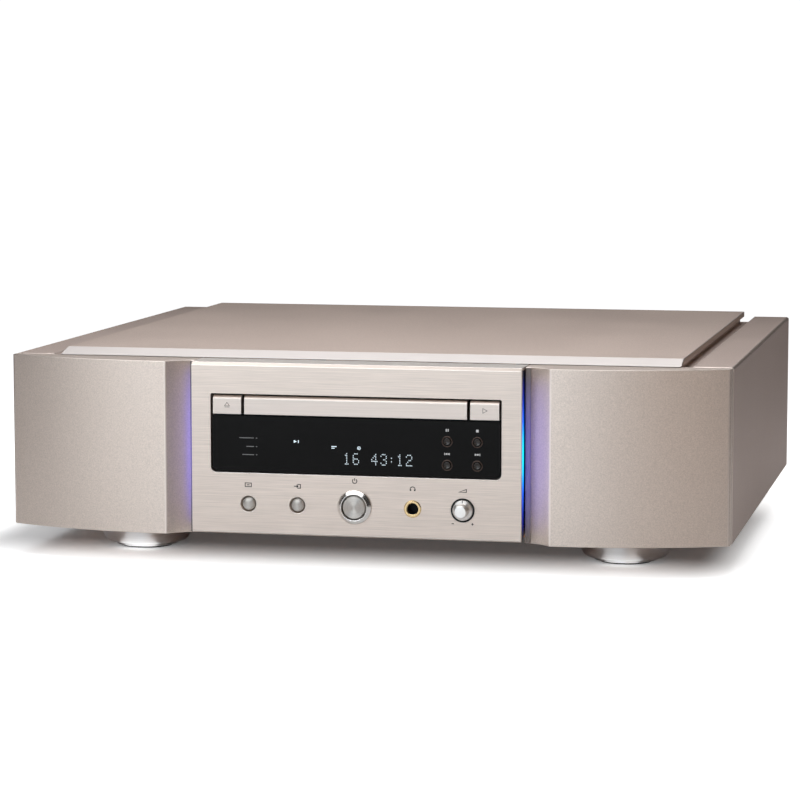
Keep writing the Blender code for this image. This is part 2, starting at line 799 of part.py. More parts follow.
def build_clamp():
    bridge = box("clamp_bridge", (-68.4, back(60), 108.7), (68.4, back(92), 110.7))
    cut(bridge, cylinder("puck_hole", (0, back(SPINDLE)), 10.5, 100, 115))
    finish(bridge, STEEL)
    puck = [
        (0, 112.8),
        (14.0, 112.8),
        (14.0, 111.4),
        (9.5, 111.4),
        (9.5, 106.3),
        (16.0, 106.0),
        (16.0, 103.3),
        (9.0, 103.3),
        (8.0, 105.4),
        (0, 105.4),
    ]
    finish(turned("clamp_puck", puck, (0, back(SPINDLE), 0)), BLACK)


def build_traverse():
    """The plate that rises under the disc with its spindle motor, guide rods and pickup."""
    spindle = (0, back(SPINDLE))
    plate = box("traverse_plate", (-42.0, back(60), PLATE_LOW), (42.0, back(172), PLATE_HIGH))
    for x in (-ROD_X, ROD_X):
        for depth in (90.2, 148.0):
            low = (x - 4, back(depth), PLATE_HIGH - 1)
            join(plate, box("rod_block", low, (x + 4, back(depth + 2.8), 86.8)))
    low = (SCREW_X - 4.5, back(148.3), PLATE_HIGH - 1)
    join(plate, box("screw_block", low, (SCREW_X + 6, back(150.5), 86.5)))
    bores = [(-ROD_X, ROD_Z, ROD_RADIUS, 80), (ROD_X, ROD_Z, ROD_RADIUS, 80)]
    bores.append((SCREW_X, SCREW_Z, SCREW_RADIUS, 140))
    for x, z, radius, start in bores:
        cut(plate, cylinder("bore", (x, z), radius + GAP, back(start), back(160), axis="Y", sides=16))
    cut(plate, box("pickup_window", (-17.0, back(96), 70), (17.0, back(146), 80)))
    cut(plate, cylinder("spindle_hole", spindle, 4.0, 70, 80, sides=24))
    finish(plate, STEEL)
    motor = cylinder("spindle_motor", spindle, 12.5, 62.0, PLATE_LOW - GAP)
    join(motor, cylinder("spindle_shaft", spindle, 1.05, 70, 91.6, sides=16))
    finish(motor, STEEL)
    seat = [
        (0, SEAT_Z + 2.4),
        (4.5, SEAT_Z + 2.4),
        (7.3, SEAT_Z),
        (14.5, SEAT_Z),
        (14.5, SEAT_Z - 1.8),
        (7.0, SEAT_Z - 3.0),
        (5.0, 84.0),
        (1.15, 84.0),
        (1.15, 91.9),
        (0, 91.9),
    ]
    finish(turned("turntable", seat, (spindle[0], spindle[1], 0)), BLACK)
    for side, x in (("left", -ROD_X), ("right", ROD_X)):
        name = "guide_rod_" + side
        rod = cylinder(name, (x, ROD_Z), ROD_RADIUS, back(90.5), back(150.5), axis="Y", sides=16)
        finish(rod, STEEL)
    place = (SCREW_X, SCREW_Z)
    screw = cylinder("lead_screw", place, SCREW_RADIUS, back(92), back(151.4), axis="Y", sides=16)
    finish(screw, STEEL)
    finish(cylinder("sled_motor", place, 4.4, back(151.7), back(168), axis="Y"), STEEL)
    pickup = box("pickup_unit", (-33.5, back(94), 80.5), (26.0, back(112), 86.8))
    join(pickup, box("lens_turret", (-13, back(94.5), 78), (13, back(106), 90.6)))
    join(pickup, cylinder("lens", (0, back(100)), 3.2, 88, 91.6, sides=24))
    for x, z, radius, _ in bores:
        bore = cylinder("bore", (x, z), radius + SLIDE_FIT, back(80), back(120), axis="Y", sides=16)
        cut(pickup, bore)
    finish(pickup, BLACK)


# ---------------------------------------------------------------- electronics and sockets

def board(name, low, high):
    """A circuit board on four posts that stand on the base plate."""
    made = box(name, low, high)
    foot = FLOOR_HIGH + GAP
    for x in (low[0] + 6, high[0] - 6):
        for y in (low[1] + 6, high[1] - 6):
            join(made, cylinder(name + "_post", (x, y), 3.0, foot, low[2] + 0.8, sides=12))
    return finish(made, BOARD)


def build_electronics():
    place = (-143.0, back(180), 0)
    foot = FLOOR_HIGH + GAP
    can = [(0, 88.0), (46.0, 88.0), (49.0, 85.0), (49.0, 24.0), (52.0, 24.0), (52.0, foot), (0, foot)]
    finish(turned("transformer", can, place), COPPER)
    board("power_board", (-205, back(245), 29), (-88, back(368), 30.6))
    board("audio_board", (84, back(60), 29), (205, back(368), 30.6))


def inlet_box(name, half_width, half_height, low, high):
    """A box about the middle of the mains inlet, from low to high along Y."""
    near = (INLET_X - half_width, low, INLET_Z - half_height)
    return box(name, near, (INLET_X + half_width, high, INLET_Z + half_height))


def build_sockets():
    face = back(REAR_FACE)
    inlet = inlet_box("mains_inlet", 24.0, 14.0, face + GAP, face + 3)
    join(inlet, inlet_box("inlet_body", 15.0, 11.5, face - 22, face + 2))
    cut(inlet, inlet_box("inlet_mouth", 12.2, 8.5, face - 18, face + 9))
    for x, z in ((-7, -2), (7, -2), (0, 3)):
        low = (INLET_X + x - 1, face - 20, INLET_Z + z - 2)
        join(inlet, box("inlet_pin", low, (INLET_X + x + 1, face - 4.5, INLET_Z + z + 2)))
    finish(inlet, BLACK)
    for side, x in zip(("left", "right"), XLR_X):
        shell = [
            (10.3, 3.0),
            (13.0, 3.0),
            (13.5, 2.5),
            (13.5, GAP),
            (11.4, GAP),
            (11.4, -20.0),
            (0, -20.0),
            (0, -12.0),
            (10.3, -12.0),
        ]
        xlr = turned("balanced_socket_" + side, shell, (x, face, SOCKET_Z), facing="rear", ring=True)
        for turn in (90, 210, 330):
            pin_x = x + 5.0 * math.cos(math.radians(turn))
            pin_z = SOCKET_Z + 5.0 * math.sin(math.radians(turn))
            pin = cylinder("socket_pin", (pin_x, pin_z), 1.1, face - 14, face - 4.5, axis="Y", sides=12)
            join(xlr, pin)
        finish(xlr, STEEL)
    tip = DEPTH / 2 - face
    jack = [
        (1.7, tip - 0.2),
        (2.0, tip),
        (3.9, tip),
        (4.15, tip - 0.4),
        (4.15, 4.0),
        (6.0, 4.0),
        (6.5, 3.5),
        (6.5, GAP),
        (4.0, GAP),
        (4.0, -10.0),
        (0, -10.0),
        (0, 4.0),
        (1.7, 4.0),
    ]
    for side, x in zip(("left", "right"), RCA_X):
        name = "line_socket_" + side
        place = (x, face, SOCKET_Z)
        socket = turned(name, jack, place, facing="rear", sides=SMALL_SIDES, ring=True)
        finish(socket, BRASS)


# ---------------------------------------------------------------- assembly

def main():
    build_cheeks()
    build_side_panels()
    build_cover()
    build_base()
    build_rear_panel()
    build_feet()
    build_fascia()
    build_light_bars()
    build_subframe()
    build_window()
    build_display()
    build_bars()
    build_small_buttons()
    build_row_controls()
    build_tray()
    build_loader_drive()
    build_loader_frame()
    build_clamp()
    build_traverse()
    build_electronics()
    build_sockets()


main()
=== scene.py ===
"""The looks of a full-width disc player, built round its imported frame.

Lengths are in millimetres and become metres where a mesh is made; the floor, the lights and the
camera are in metres.  X is to the viewer's right, the front faces -Y and +Z is up, with the origin
under the middle.
"""

import json
import math

import bmesh
import bpy
from mathutils import Matrix, Vector

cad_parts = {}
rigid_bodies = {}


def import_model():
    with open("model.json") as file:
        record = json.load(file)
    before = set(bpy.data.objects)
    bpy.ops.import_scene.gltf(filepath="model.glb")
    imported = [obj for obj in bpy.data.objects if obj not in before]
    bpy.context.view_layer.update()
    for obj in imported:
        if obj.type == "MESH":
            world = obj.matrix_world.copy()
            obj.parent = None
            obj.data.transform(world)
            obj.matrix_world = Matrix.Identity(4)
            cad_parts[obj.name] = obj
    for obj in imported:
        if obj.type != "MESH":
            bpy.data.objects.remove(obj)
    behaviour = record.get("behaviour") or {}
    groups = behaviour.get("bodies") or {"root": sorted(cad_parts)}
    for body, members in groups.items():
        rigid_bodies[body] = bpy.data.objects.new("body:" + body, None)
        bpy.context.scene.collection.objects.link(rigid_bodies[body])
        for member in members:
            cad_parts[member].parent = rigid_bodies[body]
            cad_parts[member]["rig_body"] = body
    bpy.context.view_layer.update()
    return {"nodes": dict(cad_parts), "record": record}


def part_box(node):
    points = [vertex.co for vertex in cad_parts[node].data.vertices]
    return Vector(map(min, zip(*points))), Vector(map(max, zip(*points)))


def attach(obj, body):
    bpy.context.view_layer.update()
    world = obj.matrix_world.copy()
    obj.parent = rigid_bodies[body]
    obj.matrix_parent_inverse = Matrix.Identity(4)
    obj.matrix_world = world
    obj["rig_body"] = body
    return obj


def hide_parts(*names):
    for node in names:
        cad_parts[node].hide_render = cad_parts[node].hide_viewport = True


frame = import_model()

MM = 0.001
TURN = 2 * math.pi
SHARP = 35  # degrees between two faces from which the edge between them is shaded sharp
ROUND_FROM = 28  # degrees from which an edge is rounded
CASE_EDGE = 0.3
SHEET_EDGE = 0.2


def low(node, axis):
    """The lowest coordinate of a node along X, Y or Z, in millimetres."""
    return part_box(node)[0]["XYZ".index(axis)] / MM


def high(node, axis):
    """The highest coordinate of a node along X, Y or Z, in millimetres."""
    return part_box(node)[1]["XYZ".index(axis)] / MM


def middle(node, axis):
    return (low(node, axis) + high(node, axis)) / 2


slots = {row["node"]: row["material_slot"] for row in frame["record"]["subparts"]}
FACE = low("centre_fascia", "Y")
ROW_Z = middle("power_button", "Z")
REAR = high("rear_panel", "Y")


# ---------------------------------------------------------------- materials

class Finish:
    """One Principled material and the nodes that feed it."""

    def __init__(self, name, **sockets):
        self.material = bpy.data.materials.new(name)
        self.material.use_nodes = True
        self.nodes = self.material.node_tree.nodes
        self.links = self.material.node_tree.links
        self.shader = self.nodes["Principled BSDF"]
        for socket, value in sockets.items():
            self.shader.inputs[socket.replace("_", " ")].default_value = value

    def node(self, kind, inputs=(), **settings):
        """A node; inputs maps socket names or numbers to values or to other nodes' outputs."""
        made = self.nodes.new(kind)
        for setting, value in settings.items():
            setattr(made, setting, value)
        for socket, value in dict(inputs).items():
            if isinstance(value, bpy.types.NodeSocket):
                self.links.new(value, made.inputs[socket])
            else:
                made.inputs[socket].default_value = value
        return made

    def feed(self, socket, output):
        self.links.new(output, self.shader.inputs[socket])

    def place(self, scale=(1, 1, 1)):
        """Object coordinates times a scale for each axis, so that a texture can be stretched."""
        place = self.node("ShaderNodeTexCoord").outputs["Object"]
        return self.node("ShaderNodeMapping", {"Vector": place, "Scale": scale}).outputs[0]

    def noise(self, vector, scale, detail=3.0, roughness=0.55):
        inputs = {"Vector": vector, "Scale": scale, "Detail": detail, "Roughness": roughness}
        return self.node("ShaderNodeTexNoise", inputs).outputs["Fac"]

    def range(self, value, start, end, first, last):
        """The value from start to end, spread between first and last."""
        inputs = {"Value": value, 1: start, 2: end, 3: first, 4: last}
        return self.node("ShaderNodeMapRange", inputs).outputs[0]

    def blend(self, share, first, second):
        """From the first colour to the second as share goes from 0 to 1."""
        inputs = {0: share, 6: first, 7: second}
        return self.node("ShaderNodeMix", inputs, data_type="RGBA").outputs[2]

    def bump(self, height, distance, strength):
        """A normal from a height, with the distance in millimetres."""
        inputs = {"Height": height, "Distance": distance * MM, "Strength": strength}
        return self.node("ShaderNodeBump", inputs).outputs[0]

    def math(self, operation, first, second=0.0):
        inputs = {0: first, 1: second}
        return self.node("ShaderNodeMath", inputs, operation=operation).outputs[0]


def shade(colour, factor):
    """A colour made lighter or darker, as four numbers."""
    return (*(min(value * factor, 1.0) for value in colour), 1.0)


def blasted_metal(name, colour, roughness):
    """Anodised aluminium with a fine bead-blasted grain and faint uneven patches."""
    finish = Finish(name, Metallic=1.0)
    place = finish.place()
    grain = finish.noise(place, 1250.0, 3.0, 0.75)
    patches = finish.noise(place, 14.0, 3.0)
    speck = finish.range(grain, 0.3, 0.7, 0.0, 1.0)
    finish.feed("Base Color", finish.blend(speck, shade(colour, 0.86), shade(colour, 1.13)))
    rough = finish.range(patches, 0.3, 0.7, roughness - 0.02, roughness + 0.03)
    finish.feed("Roughness", finish.math("ADD", rough, finish.math("MULTIPLY", grain, 0.05)))
    finish.feed("Normal", finish.bump(grain, 0.04, 0.35))
    return finish.material


def brushed_metal(name, colour, roughness, contrast=0.06):
    """Aluminium brushed along X: long fine scratches over broader streaks."""
    finish = Finish(name, Metallic=1.0, Anisotropic=0.3)
    place = finish.place((0.012, 1, 1))
    scratches = finish.noise(place, 3400.0, 3.0, 0.6)
    streaks = finish.noise(place, 1300.0, 3.0, 0.6)
    both = finish.math("ADD", finish.math("MULTIPLY", scratches, 0.6), finish.math("MULTIPLY", streaks, 0.4))
    share = finish.range(both, 0.35, 0.65, 0.0, 1.0)
    dark, light = shade(colour, 1 - contrast), shade(colour, 1 + contrast)
    finish.feed("Base Color", finish.blend(share, dark, light))
    finish.feed("Roughness", finish.range(both, 0.3, 0.7, roughness - 0.06, roughness + 0.06))
    finish.feed("Normal", finish.bump(both, 0.02, 0.3))
    facing = finish.node("ShaderNodeTexCoord").outputs["Normal"]
    nearly_up = (0.02, 0.05, 1)  # not quite +Z, so that a level face has a tangent too
    level = finish.node("ShaderNodeVectorMath", {0: facing, 1: nearly_up}, operation="CROSS_PRODUCT")
    finish.feed("Tangent", level.outputs[0])
    return finish.material


def spun_metal(name, colour, roughness, anisotropic=0.8, contrast=0.07):
    """Metal turned on a lathe about its own Z: concentric tool marks that draw out the highlight."""
    finish = Finish(name, Metallic=1.0, Anisotropic=anisotropic, Anisotropic_Rotation=0.25)
    place = finish.node("ShaderNodeTexCoord").outputs["Object"]
    flat = finish.node("ShaderNodeVectorMath", {0: place, 1: (1, 1, 0)}, operation="MULTIPLY")
    radius = finish.node("ShaderNodeVectorMath", {0: flat.outputs[0]}, operation="LENGTH").outputs["Value"]
    height = finish.node("ShaderNodeSeparateXYZ", {0: place}).outputs["Z"]
    along = finish.node("ShaderNodeCombineXYZ", {0: radius, 1: height}).outputs[0]
    rings = finish.noise(along, 6500.0, 3.0, 0.6)
    bands = finish.noise(along, 900.0, 2.0)
    share = finish.range(rings, 0.35, 0.65, 0.0, 1.0)
    dark, light = shade(colour, 1 - contrast), shade(colour, 1 + contrast)
    finish.feed("Base Color", finish.blend(share, dark, light))
    finish.feed("Roughness", finish.range(bands, 0.3, 0.7, roughness - 0.04, roughness + 0.05))
    finish.feed("Normal", finish.bump(rings, 0.012, 0.3))
    tangent = finish.node("ShaderNodeTangent", direction_type="RADIAL", axis="Z")
    finish.feed("Tangent", tangent.outputs[0])
    return finish.material


def polished_metal(name, colour, roughness):
    """Bright metal with faint hairlines and a little dulling."""
    finish = Finish(name, Metallic=1.0)
    dull = finish.noise(finish.place(), 160.0, 4.0)
    hairs = finish.noise(finish.place((0.05, 1, 1)), 4000.0, 2.0)
    finish.feed("Base Color", finish.blend(dull, shade(colour, 0.95), shade(colour, 1.04)))
    finish.feed("Roughness", finish.range(dull, 0.3, 0.7, roughness, roughness + 0.06))
    finish.feed("Normal", finish.bump(hairs, 0.004, 0.2))
    return finish.material


def moulded(name, colour, roughness, grain=0.03, scale=1500.0):
    """Moulded plastic or rubber with a fine eroded texture."""
    finish = Finish(name)
    place = finish.place()
    texture = finish.noise(place, scale, 3.0, 0.6)
    wear = finish.noise(place, 30.0, 4.0)
    finish.feed("Base Color", finish.blend(wear, shade(colour, 0.85), shade(colour, 1.2)))
    finish.feed("Roughness", finish.range(texture, 0.3, 0.7, roughness - 0.06, roughness + 0.06))
    finish.feed("Normal", finish.bump(texture, grain, 0.5))
    return finish.material


def gloss_black():
    """Black acrylic: a deep gloss with the faintest haze."""
    finish = Finish("black_acrylic", Specular_IOR_Level=0.10)
    haze = finish.noise(finish.place(), 40.0, 4.0)
    deep, pale = (0.0045, 0.0045, 0.0046, 1), (0.0065, 0.0065, 0.0065, 1)
    finish.feed("Base Color", finish.blend(haze, deep, pale))
    finish.feed("Roughness", finish.range(haze, 0.3, 0.7, 0.05, 0.11))
    return finish.material


def along_strip(finish):
    """Object coordinates, and the height above or below the middle of the light strips."""
    place = finish.node("ShaderNodeTexCoord").outputs["Object"]
    height = finish.node("ShaderNodeSeparateXYZ", {0: place}).outputs["Z"]
    centre = middle("light_bar_right", "Z") * MM
    return place, finish.math("ABSOLUTE", finish.math("SUBTRACT", height, centre))


def light_guide():
    """A strip lit bright blue in its middle, deeper towards its ends and dark at their tips."""
    finish = Finish("blue_light_guide", Roughness=0.35)
    place, away = along_strip(finish)
    frost = finish.noise(place, 900.0, 2.0)
    finish.feed("Base Color", finish.blend(frost, (0.01, 0.02, 0.06, 1), (0.015, 0.03, 0.09, 1)))
    cyan, blue, deep = (0.0, 0.60, 1.0, 1), (0.0, 0.14, 1.0, 1), (0.0, 0.006, 0.55, 1)
    outer = finish.blend(finish.range(away, 18 * MM, 38 * MM, 0.0, 1.0), blue, deep)
    hue = finish.blend(finish.range(away, 4 * MM, 20 * MM, 0.0, 1.0), cyan, outer)
    finish.feed("Emission Color", hue)
    finish.feed("Emission Strength", finish.range(away, 10 * MM, 47 * MM, 1.7, 0.0))
    return finish.material


def lit_seal():
    """A dark strip of painted shade beside a light strip, with a painted blue glow for the light the strip
    would throw on it, plain at both ends.
    """
    finish = Finish("lit_seal", Roughness=0.5)
    place, away = along_strip(finish)
    frost = finish.noise(place, 900.0, 2.0)
    finish.feed("Base Color", finish.blend(frost, (0.15, 0.12, 0.11, 1), (0.19, 0.16, 0.14, 1)))
    # painted glow: the blue that the strip's light would throw on this strip of painted shade
    finish.shader.inputs["Emission Color"].default_value = (0.04, 0.03, 1.0, 1)
    finish.feed("Emission Strength", finish.range(away, 12 * MM, 48 * MM, 0.24, 0.0))
    return finish.material


def glow(name, colour, strength):
    """A lit dot, or a pale print whose glow is painted light, a little uneven from one place to the next."""
    finish = Finish(name, Roughness=0.4)
    uneven = finish.noise(finish.place(), 700.0, 1.0)
    finish.feed("Base Color", finish.blend(uneven, shade(colour, 0.5), shade(colour, 0.6)))
    finish.feed("Emission Color", finish.blend(uneven, shade(colour, 0.8), shade(colour, 1.0)))
    finish.shader.inputs["Emission Strength"].default_value = strength
    return finish.material


def circuit_board():
    """Green solder mask over a pattern of copper tracks."""
    finish = Finish("circuit_board", Roughness=0.4)
    place = finish.place()
    bricks = {"Vector": place, "Scale": 160.0, "Mortar Size": 0.06}
    tracks = finish.node("ShaderNodeTexBrick", bricks).outputs["Fac"]
    blotch = finish.noise(place, 220.0, 2.0)
    green = finish.blend(blotch, (0.006, 0.05, 0.02, 1), (0.012, 0.09, 0.035, 1))
    finish.feed("Base Color", finish.blend(tracks, green, (0.03, 0.16, 0.06, 1)))
    finish.feed("Normal", finish.bump(tracks, 0.03, 0.4))
    return finish.material


CHAMPAGNE = (0.70, 0.605, 0.54)
SATIN = (0.69, 0.575, 0.51)
PANEL = (0.64, 0.53, 0.475)

finishes = {
    "fascia_metal": brushed_metal("brushed_champagne", (0.68, 0.585, 0.52), 0.40, 0.14),
    "cheek_metal": blasted_metal("blasted_champagne", CHAMPAGNE, 0.44),
    "case_metal": blasted_metal("blasted_side", PANEL, 0.48),
    "cover_metal": blasted_metal("blasted_cover", SATIN, 0.50),
    "plated_chassis": polished_metal("copper_plate", (0.62, 0.36, 0.24), 0.34),
    "foot_metal": spun_metal("spun_foot", (0.90, 0.90, 0.90), 0.42, 1.0),
    "foot_pad": moulded("damping_pad", (0.02, 0.02, 0.02), 0.85, 0.08, 900.0),
    "light_guide": light_guide(),
    "moulding_black": moulded("black_moulding", (0.022, 0.022, 0.023), 0.5),
    "window_black": gloss_black(),
    "display_glass": polished_metal("display_glass", (0.06, 0.065, 0.07), 0.1),
    "circuit_board": circuit_board(),
    "bar_metal": brushed_metal("brushed_bar", (0.65, 0.565, 0.51), 0.36),
    "small_button_black": moulded("dark_button", (0.010, 0.006, 0.004), 0.16, 0.01),
    "polished_metal": spun_metal("turned_silver", (0.86, 0.83, 0.80), 0.20, 0.5, 0.04),
    "spun_metal": spun_metal("spun_disc", (0.60, 0.56, 0.52), 0.42, 1.0, 0.1),
    "socket_brass": polished_metal("gold_plate", (0.86, 0.66, 0.36), 0.18),
    "knob_metal": spun_metal("turned_knob", (0.86, 0.83, 0.80), 0.34, 0.3),
    "steel": polished_metal("zinc_plate", (0.58, 0.58, 0.57), 0.32),
    "moulding_grey": moulded("grey_moulding", (0.30, 0.30, 0.29), 0.45),
    "belt_rubber": moulded("belt_rubber", (0.018, 0.018, 0.018), 0.7, 0.04),
}

# lighter copies of the metals for rounded edges, bevels and tops: painted highlights
EDGE_PAINTED_HIGHLIGHT = brushed_metal("machined_edge", (0.70, 0.66, 0.635), 0.44, 0.04)
TOP_PAINTED_HIGHLIGHT = brushed_metal("bright_champagne_top", (0.98, 0.91, 0.86), 0.40, 0.05)
CHAMPAGNE_EDGE_PAINTED_HIGHLIGHT = polished_metal("bright_champagne_edge", (0.84, 0.75, 0.69), 0.32)
# a dark strip of painted shade with a painted blue glow, for the foot of each cove
PAINTED_SHADE_GLOW_LOOK = lit_seal()
# white print given a glow of its own: painted light
WHITE_PRINT_PAINTED_GLOW = glow("white_print", (0.75, 0.75, 0.75), 0.25)
PRINT_GREY = moulded("grey_print", (0.16, 0.16, 0.16), 0.5, 0.005)
PRINT_DARK = moulded("dark_print", (0.012, 0.010, 0.009), 0.6, 0.005)
# flat dark lines for engravings: painted shade of their grooves
ENGRAVING_PAINTED_SHADE = moulded("engraved_line", (0.10, 0.085, 0.075), 0.5, 0.005)
DISPLAY_LIT = glow("display_lit", (0.78, 0.92, 1.0), 0.75)
RIM = polished_metal("dark_rim", (0.09, 0.065, 0.055), 0.25)
# near black for bores, and for the painted shade of the gap round the level knob
BORE_BLACK_AND_PAINTED_SHADE = moulded("dark_bore", (0.006, 0.006, 0.006), 0.7)


# ---------------------------------------------------------------- making pieces

def keep(piece, body, slot, *nodes):
    """A piece that rides on a body and stands for any nodes given; slot is not used."""
    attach(piece, body)
    if nodes:
        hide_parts(*nodes)
    return piece


def body_of(node):
    return frame["nodes"][node]["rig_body"]


def slot_of(node):
    """The record's material slot of a node."""
    return slots[node]


def link(name, mesh, *looks):
    piece = bpy.data.objects.new(name, mesh)
    bpy.context.scene.collection.objects.link(piece)
    for look in looks:
        mesh.materials.append(look)
    return piece


def smooth(mesh, angle=SHARP):
    mesh.shade_smooth()
    mesh.set_sharp_from_angle(angle=math.radians(angle))


def cut(piece, cutter):
    """Take the cutter's shape out of a piece, for good."""
    step = piece.modifiers.new("cut", "BOOLEAN")
    step.solver = "EXACT"
    step.object = cutter
    bpy.context.view_layer.update()
    evaluated = piece.evaluated_get(bpy.context.evaluated_depsgraph_get())
    piece.modifiers.clear()
    piece.data = bpy.data.meshes.new_from_object(evaluated)
    bpy.data.objects.remove(cutter)


def round_edges(piece, width, segments=2, angle=ROUND_FROM):
    bevel = piece.modifiers.new("edges", "BEVEL")
    bevel.width = width * MM
    bevel.segments = segments
    bevel.limit_method = "ANGLE"
    bevel.angle_limit = math.radians(angle)
    return bevel


def refined(node, width, segments=2, edge=None, opening=None, bright=None, turn=SHARP):
    """A node's shape with its sharp edges rounded, as a new piece that stands for it.

    The rounded edges, and the faces whose normals pass the bright test, get the edge look when one is given:
    a lighter copy of the metal as a painted highlight.
    """
    merge_within = 2e-6
    flat_within = math.radians(0.4)
    mesh = frame["nodes"][node].data.copy()
    mesh.materials.clear()
    shape = bmesh.new()
    shape.from_mesh(mesh)
    bmesh.ops.remove_doubles(shape, verts=shape.verts, dist=merge_within)
    bmesh.ops.dissolve_limit(shape, angle_limit=flat_within, verts=shape.verts, edges=shape.edges)
    for face in shape.faces:
        face.material_index = 1 if bright and bright(face.normal) else 0
    shape.to_mesh(mesh)
    shape.free()
    look = finishes[slot_of(node)]
    piece = link(node + "_finished", mesh, look, edge or look)
    if opening:
        cut(piece, opening)
    smooth(piece.data, turn)
    bevel = round_edges(piece, width, segments, min(turn, ROUND_FROM))
    bevel.material = 1 if edge else -1
    normals = piece.modifiers.new("normals", "WEIGHTED_NORMAL")
    normals.keep_sharp = True
    return keep(piece, body_of(node), slot_of(node), node)


def rounded(profile, radius, steps=3):
    """A profile with each corner between its ends turned into a small arc."""
    most = 0.45  # of the distance to the next corner
    points = [profile[0]]
    for before, corner, after in zip(profile, profile[1:], profile[2:]):
        here = Vector(corner)
        back = Vector(before) - here
        ahead = Vector(after) - here
        reach = min(radius, back.length * most, ahead.length * most)
        start = here + back.normalized() * reach
        end = here + ahead.normalized() * reach
        for step in range(steps + 1):
            share = step / steps
            along = start.lerp(here, share).lerp(here.lerp(end, share), share)
            points.append(tuple(along))
    return points + [profile[-1]]


FACING = {
    "up": (0, 0, 0),
    "down": (math.radians(180), 0, 0),
    "front": (math.radians(90), 0, 0),
    "rear": (math.radians(-90), 0, 0),
}


def turned(name, profile, place, look, facing="front", sides=96, closed=False):
    """A turned piece about its own Z; its profile, (radius, height), runs from the top outwards."""
    shape = bmesh.new()
    rings = []
    for radius, height in profile:
        if radius < 1e-6:
            rings.append([shape.verts.new((0, 0, height * MM))])
            continue
        ring = []
        for side in range(sides):
            turn = TURN * side / sides
            x, y = radius * MM * math.cos(turn), radius * MM * math.sin(turn)
            ring.append(shape.verts.new((x, y, height * MM)))
        rings.append(ring)
    if closed:
        rings.append(rings[0])
    for upper, lower in zip(rings, rings[1:]):
        for side in range(sides):
            after = (side + 1) % sides
            corners = [
                upper[side % len(upper)],
                lower[side % len(lower)],
                lower[after % len(lower)],
                upper[after % len(upper)],
            ]
            unique = list(dict.fromkeys(corners))
            if len(unique) > 2:
                shape.faces.new(unique)
    bmesh.ops.recalc_face_normals(shape, faces=shape.faces)
    mesh = bpy.data.meshes.new(name)
    shape.to_mesh(mesh)
    shape.free()
    smooth(mesh)
    piece = link(name, mesh, look)
    piece.location = Vector(place) * MM
    piece.rotation_euler = FACING[facing]
    return piece


def solid(name, outline, axis, start, end, look):
    """A flat outline of (x, z) points pushed along Y, or of (x, y) points pushed along Z."""
    shape = bmesh.new()

    def corner(first, second, along):
        spot = {"Y": (first, along, second), "Z": (first, second, along)}[axis]
        return shape.verts.new(Vector(spot) * MM)

    near = [corner(*point, start) for point in outline]
    far = [corner(*point, end) for point in outline]
    shape.faces.new(near)
    shape.faces.new(far)
    for index in range(len(outline)):
        after = (index + 1) % len(outline)
        shape.faces.new((near[index], near[after], far[after], far[index]))
    bmesh.ops.recalc_face_normals(shape, faces=shape.faces)
    mesh = bpy.data.meshes.new(name)
    shape.to_mesh(mesh)
    shape.free()
    return link(name, mesh, look)


def oblong(half_width, bottom, top):
    return [(-half_width, bottom), (half_width, bottom), (half_width, top), (-half_width, top)]


def moved(outline, across, along):
    return [(x + across, z + along) for x, z in outline]


def softened(piece, width):
    round_edges(piece, width)
    smooth(piece.data)
    return piece


def joined(name, pieces):
    """Several loose pieces as one mesh, in the first one's finish."""
    look = pieces[0].data.materials[0]
    shape = bmesh.new()
    bpy.context.view_layer.update()
    for piece in pieces:
        mesh = piece.data.copy()
        mesh.transform(piece.matrix_world)
        shape.from_mesh(mesh)
        bpy.data.objects.remove(piece)
    made = bpy.data.meshes.new(name)
    shape.to_mesh(made)
    shape.free()
    smooth(made)
    return link(name, made, look)


# ---------------------------------------------------------------- case

def finish_cad_nodes():
    """Every node gets its slot's finish; the ones replaced below are hidden."""
    for node, item in frame["nodes"].items():
        item.data.materials.clear()
        item.data.materials.append(finishes[slot_of(node)])


def vents(axis, start, end, columns, first, rows, pitch):
    """A cutter of long rounded slots 2 mm wide, in columns across X and rows up Z or along Y."""
    half_length = 22
    openings = []
    for across in columns:
        for row in range(rows):
            outline = []
            for side, turn in ((1, -90), (-1, 90)):
                for step in range(7):
                    angle = math.radians(turn + 30 * step)
                    x = across + side * half_length + math.cos(angle)
                    outline.append((x, first + row * pitch + math.sin(angle)))
            openings.append(solid("slot", outline, axis, start, end, finishes["moulding_black"]))
    return joined("slots", openings)


def refine_case():
    """The case with softened edges, painted highlights in lighter metal on rounded edges and on faces picked
    by the way they face, and vents at the back and below.
    """
    for side in ("left", "right"):
        # rounded edges in a lighter, polished metal as a painted highlight
        refined("cheek_" + side, CASE_EDGE, edge=CHAMPAGNE_EDGE_PAINTED_HIGHLIGHT, turn=14)
        refined("side_panel_" + side, CASE_EDGE, edge=CHAMPAGNE_EDGE_PAINTED_HIGHLIGHT)
    # the cover's front bevel, facing up and forward, in a lighter metal as a painted highlight
    refined("top_cover", CASE_EDGE, edge=EDGE_PAINTED_HIGHLIGHT, bright=lambda normal: normal.y < -0.1 and normal.z > 0.5)
    # the fascia's up-facing faces in a much lighter metal as a painted highlight
    refined("centre_fascia", 0.25, edge=TOP_PAINTED_HIGHLIGHT, bright=lambda normal: normal.z > 0.98)
    rear_vents = vents("Y", REAR - 3, REAR + 3, columns=(-60, 60), first=97, rows=3, pitch=5.0)
    refined("rear_panel", SHEET_EDGE, opening=rear_vents)
    base_vents = vents("Z", 10, 30, columns=(-150, 0, 150), first=20, rows=12, pitch=7.0)
    refined("base_plate", SHEET_EDGE, opening=base_vents)
    refined("front_subframe", SHEET_EDGE)
    refined("disc_tray", CASE_EDGE)
    for node in ("mains_inlet", "balanced_socket_left", "balanced_socket_right"):
        refined(node, 0.15)


BOWL_START = 10.8  # the height from which a foot curves in
BOWL_REACH = 5.0
BOWL_DROP = 7.5


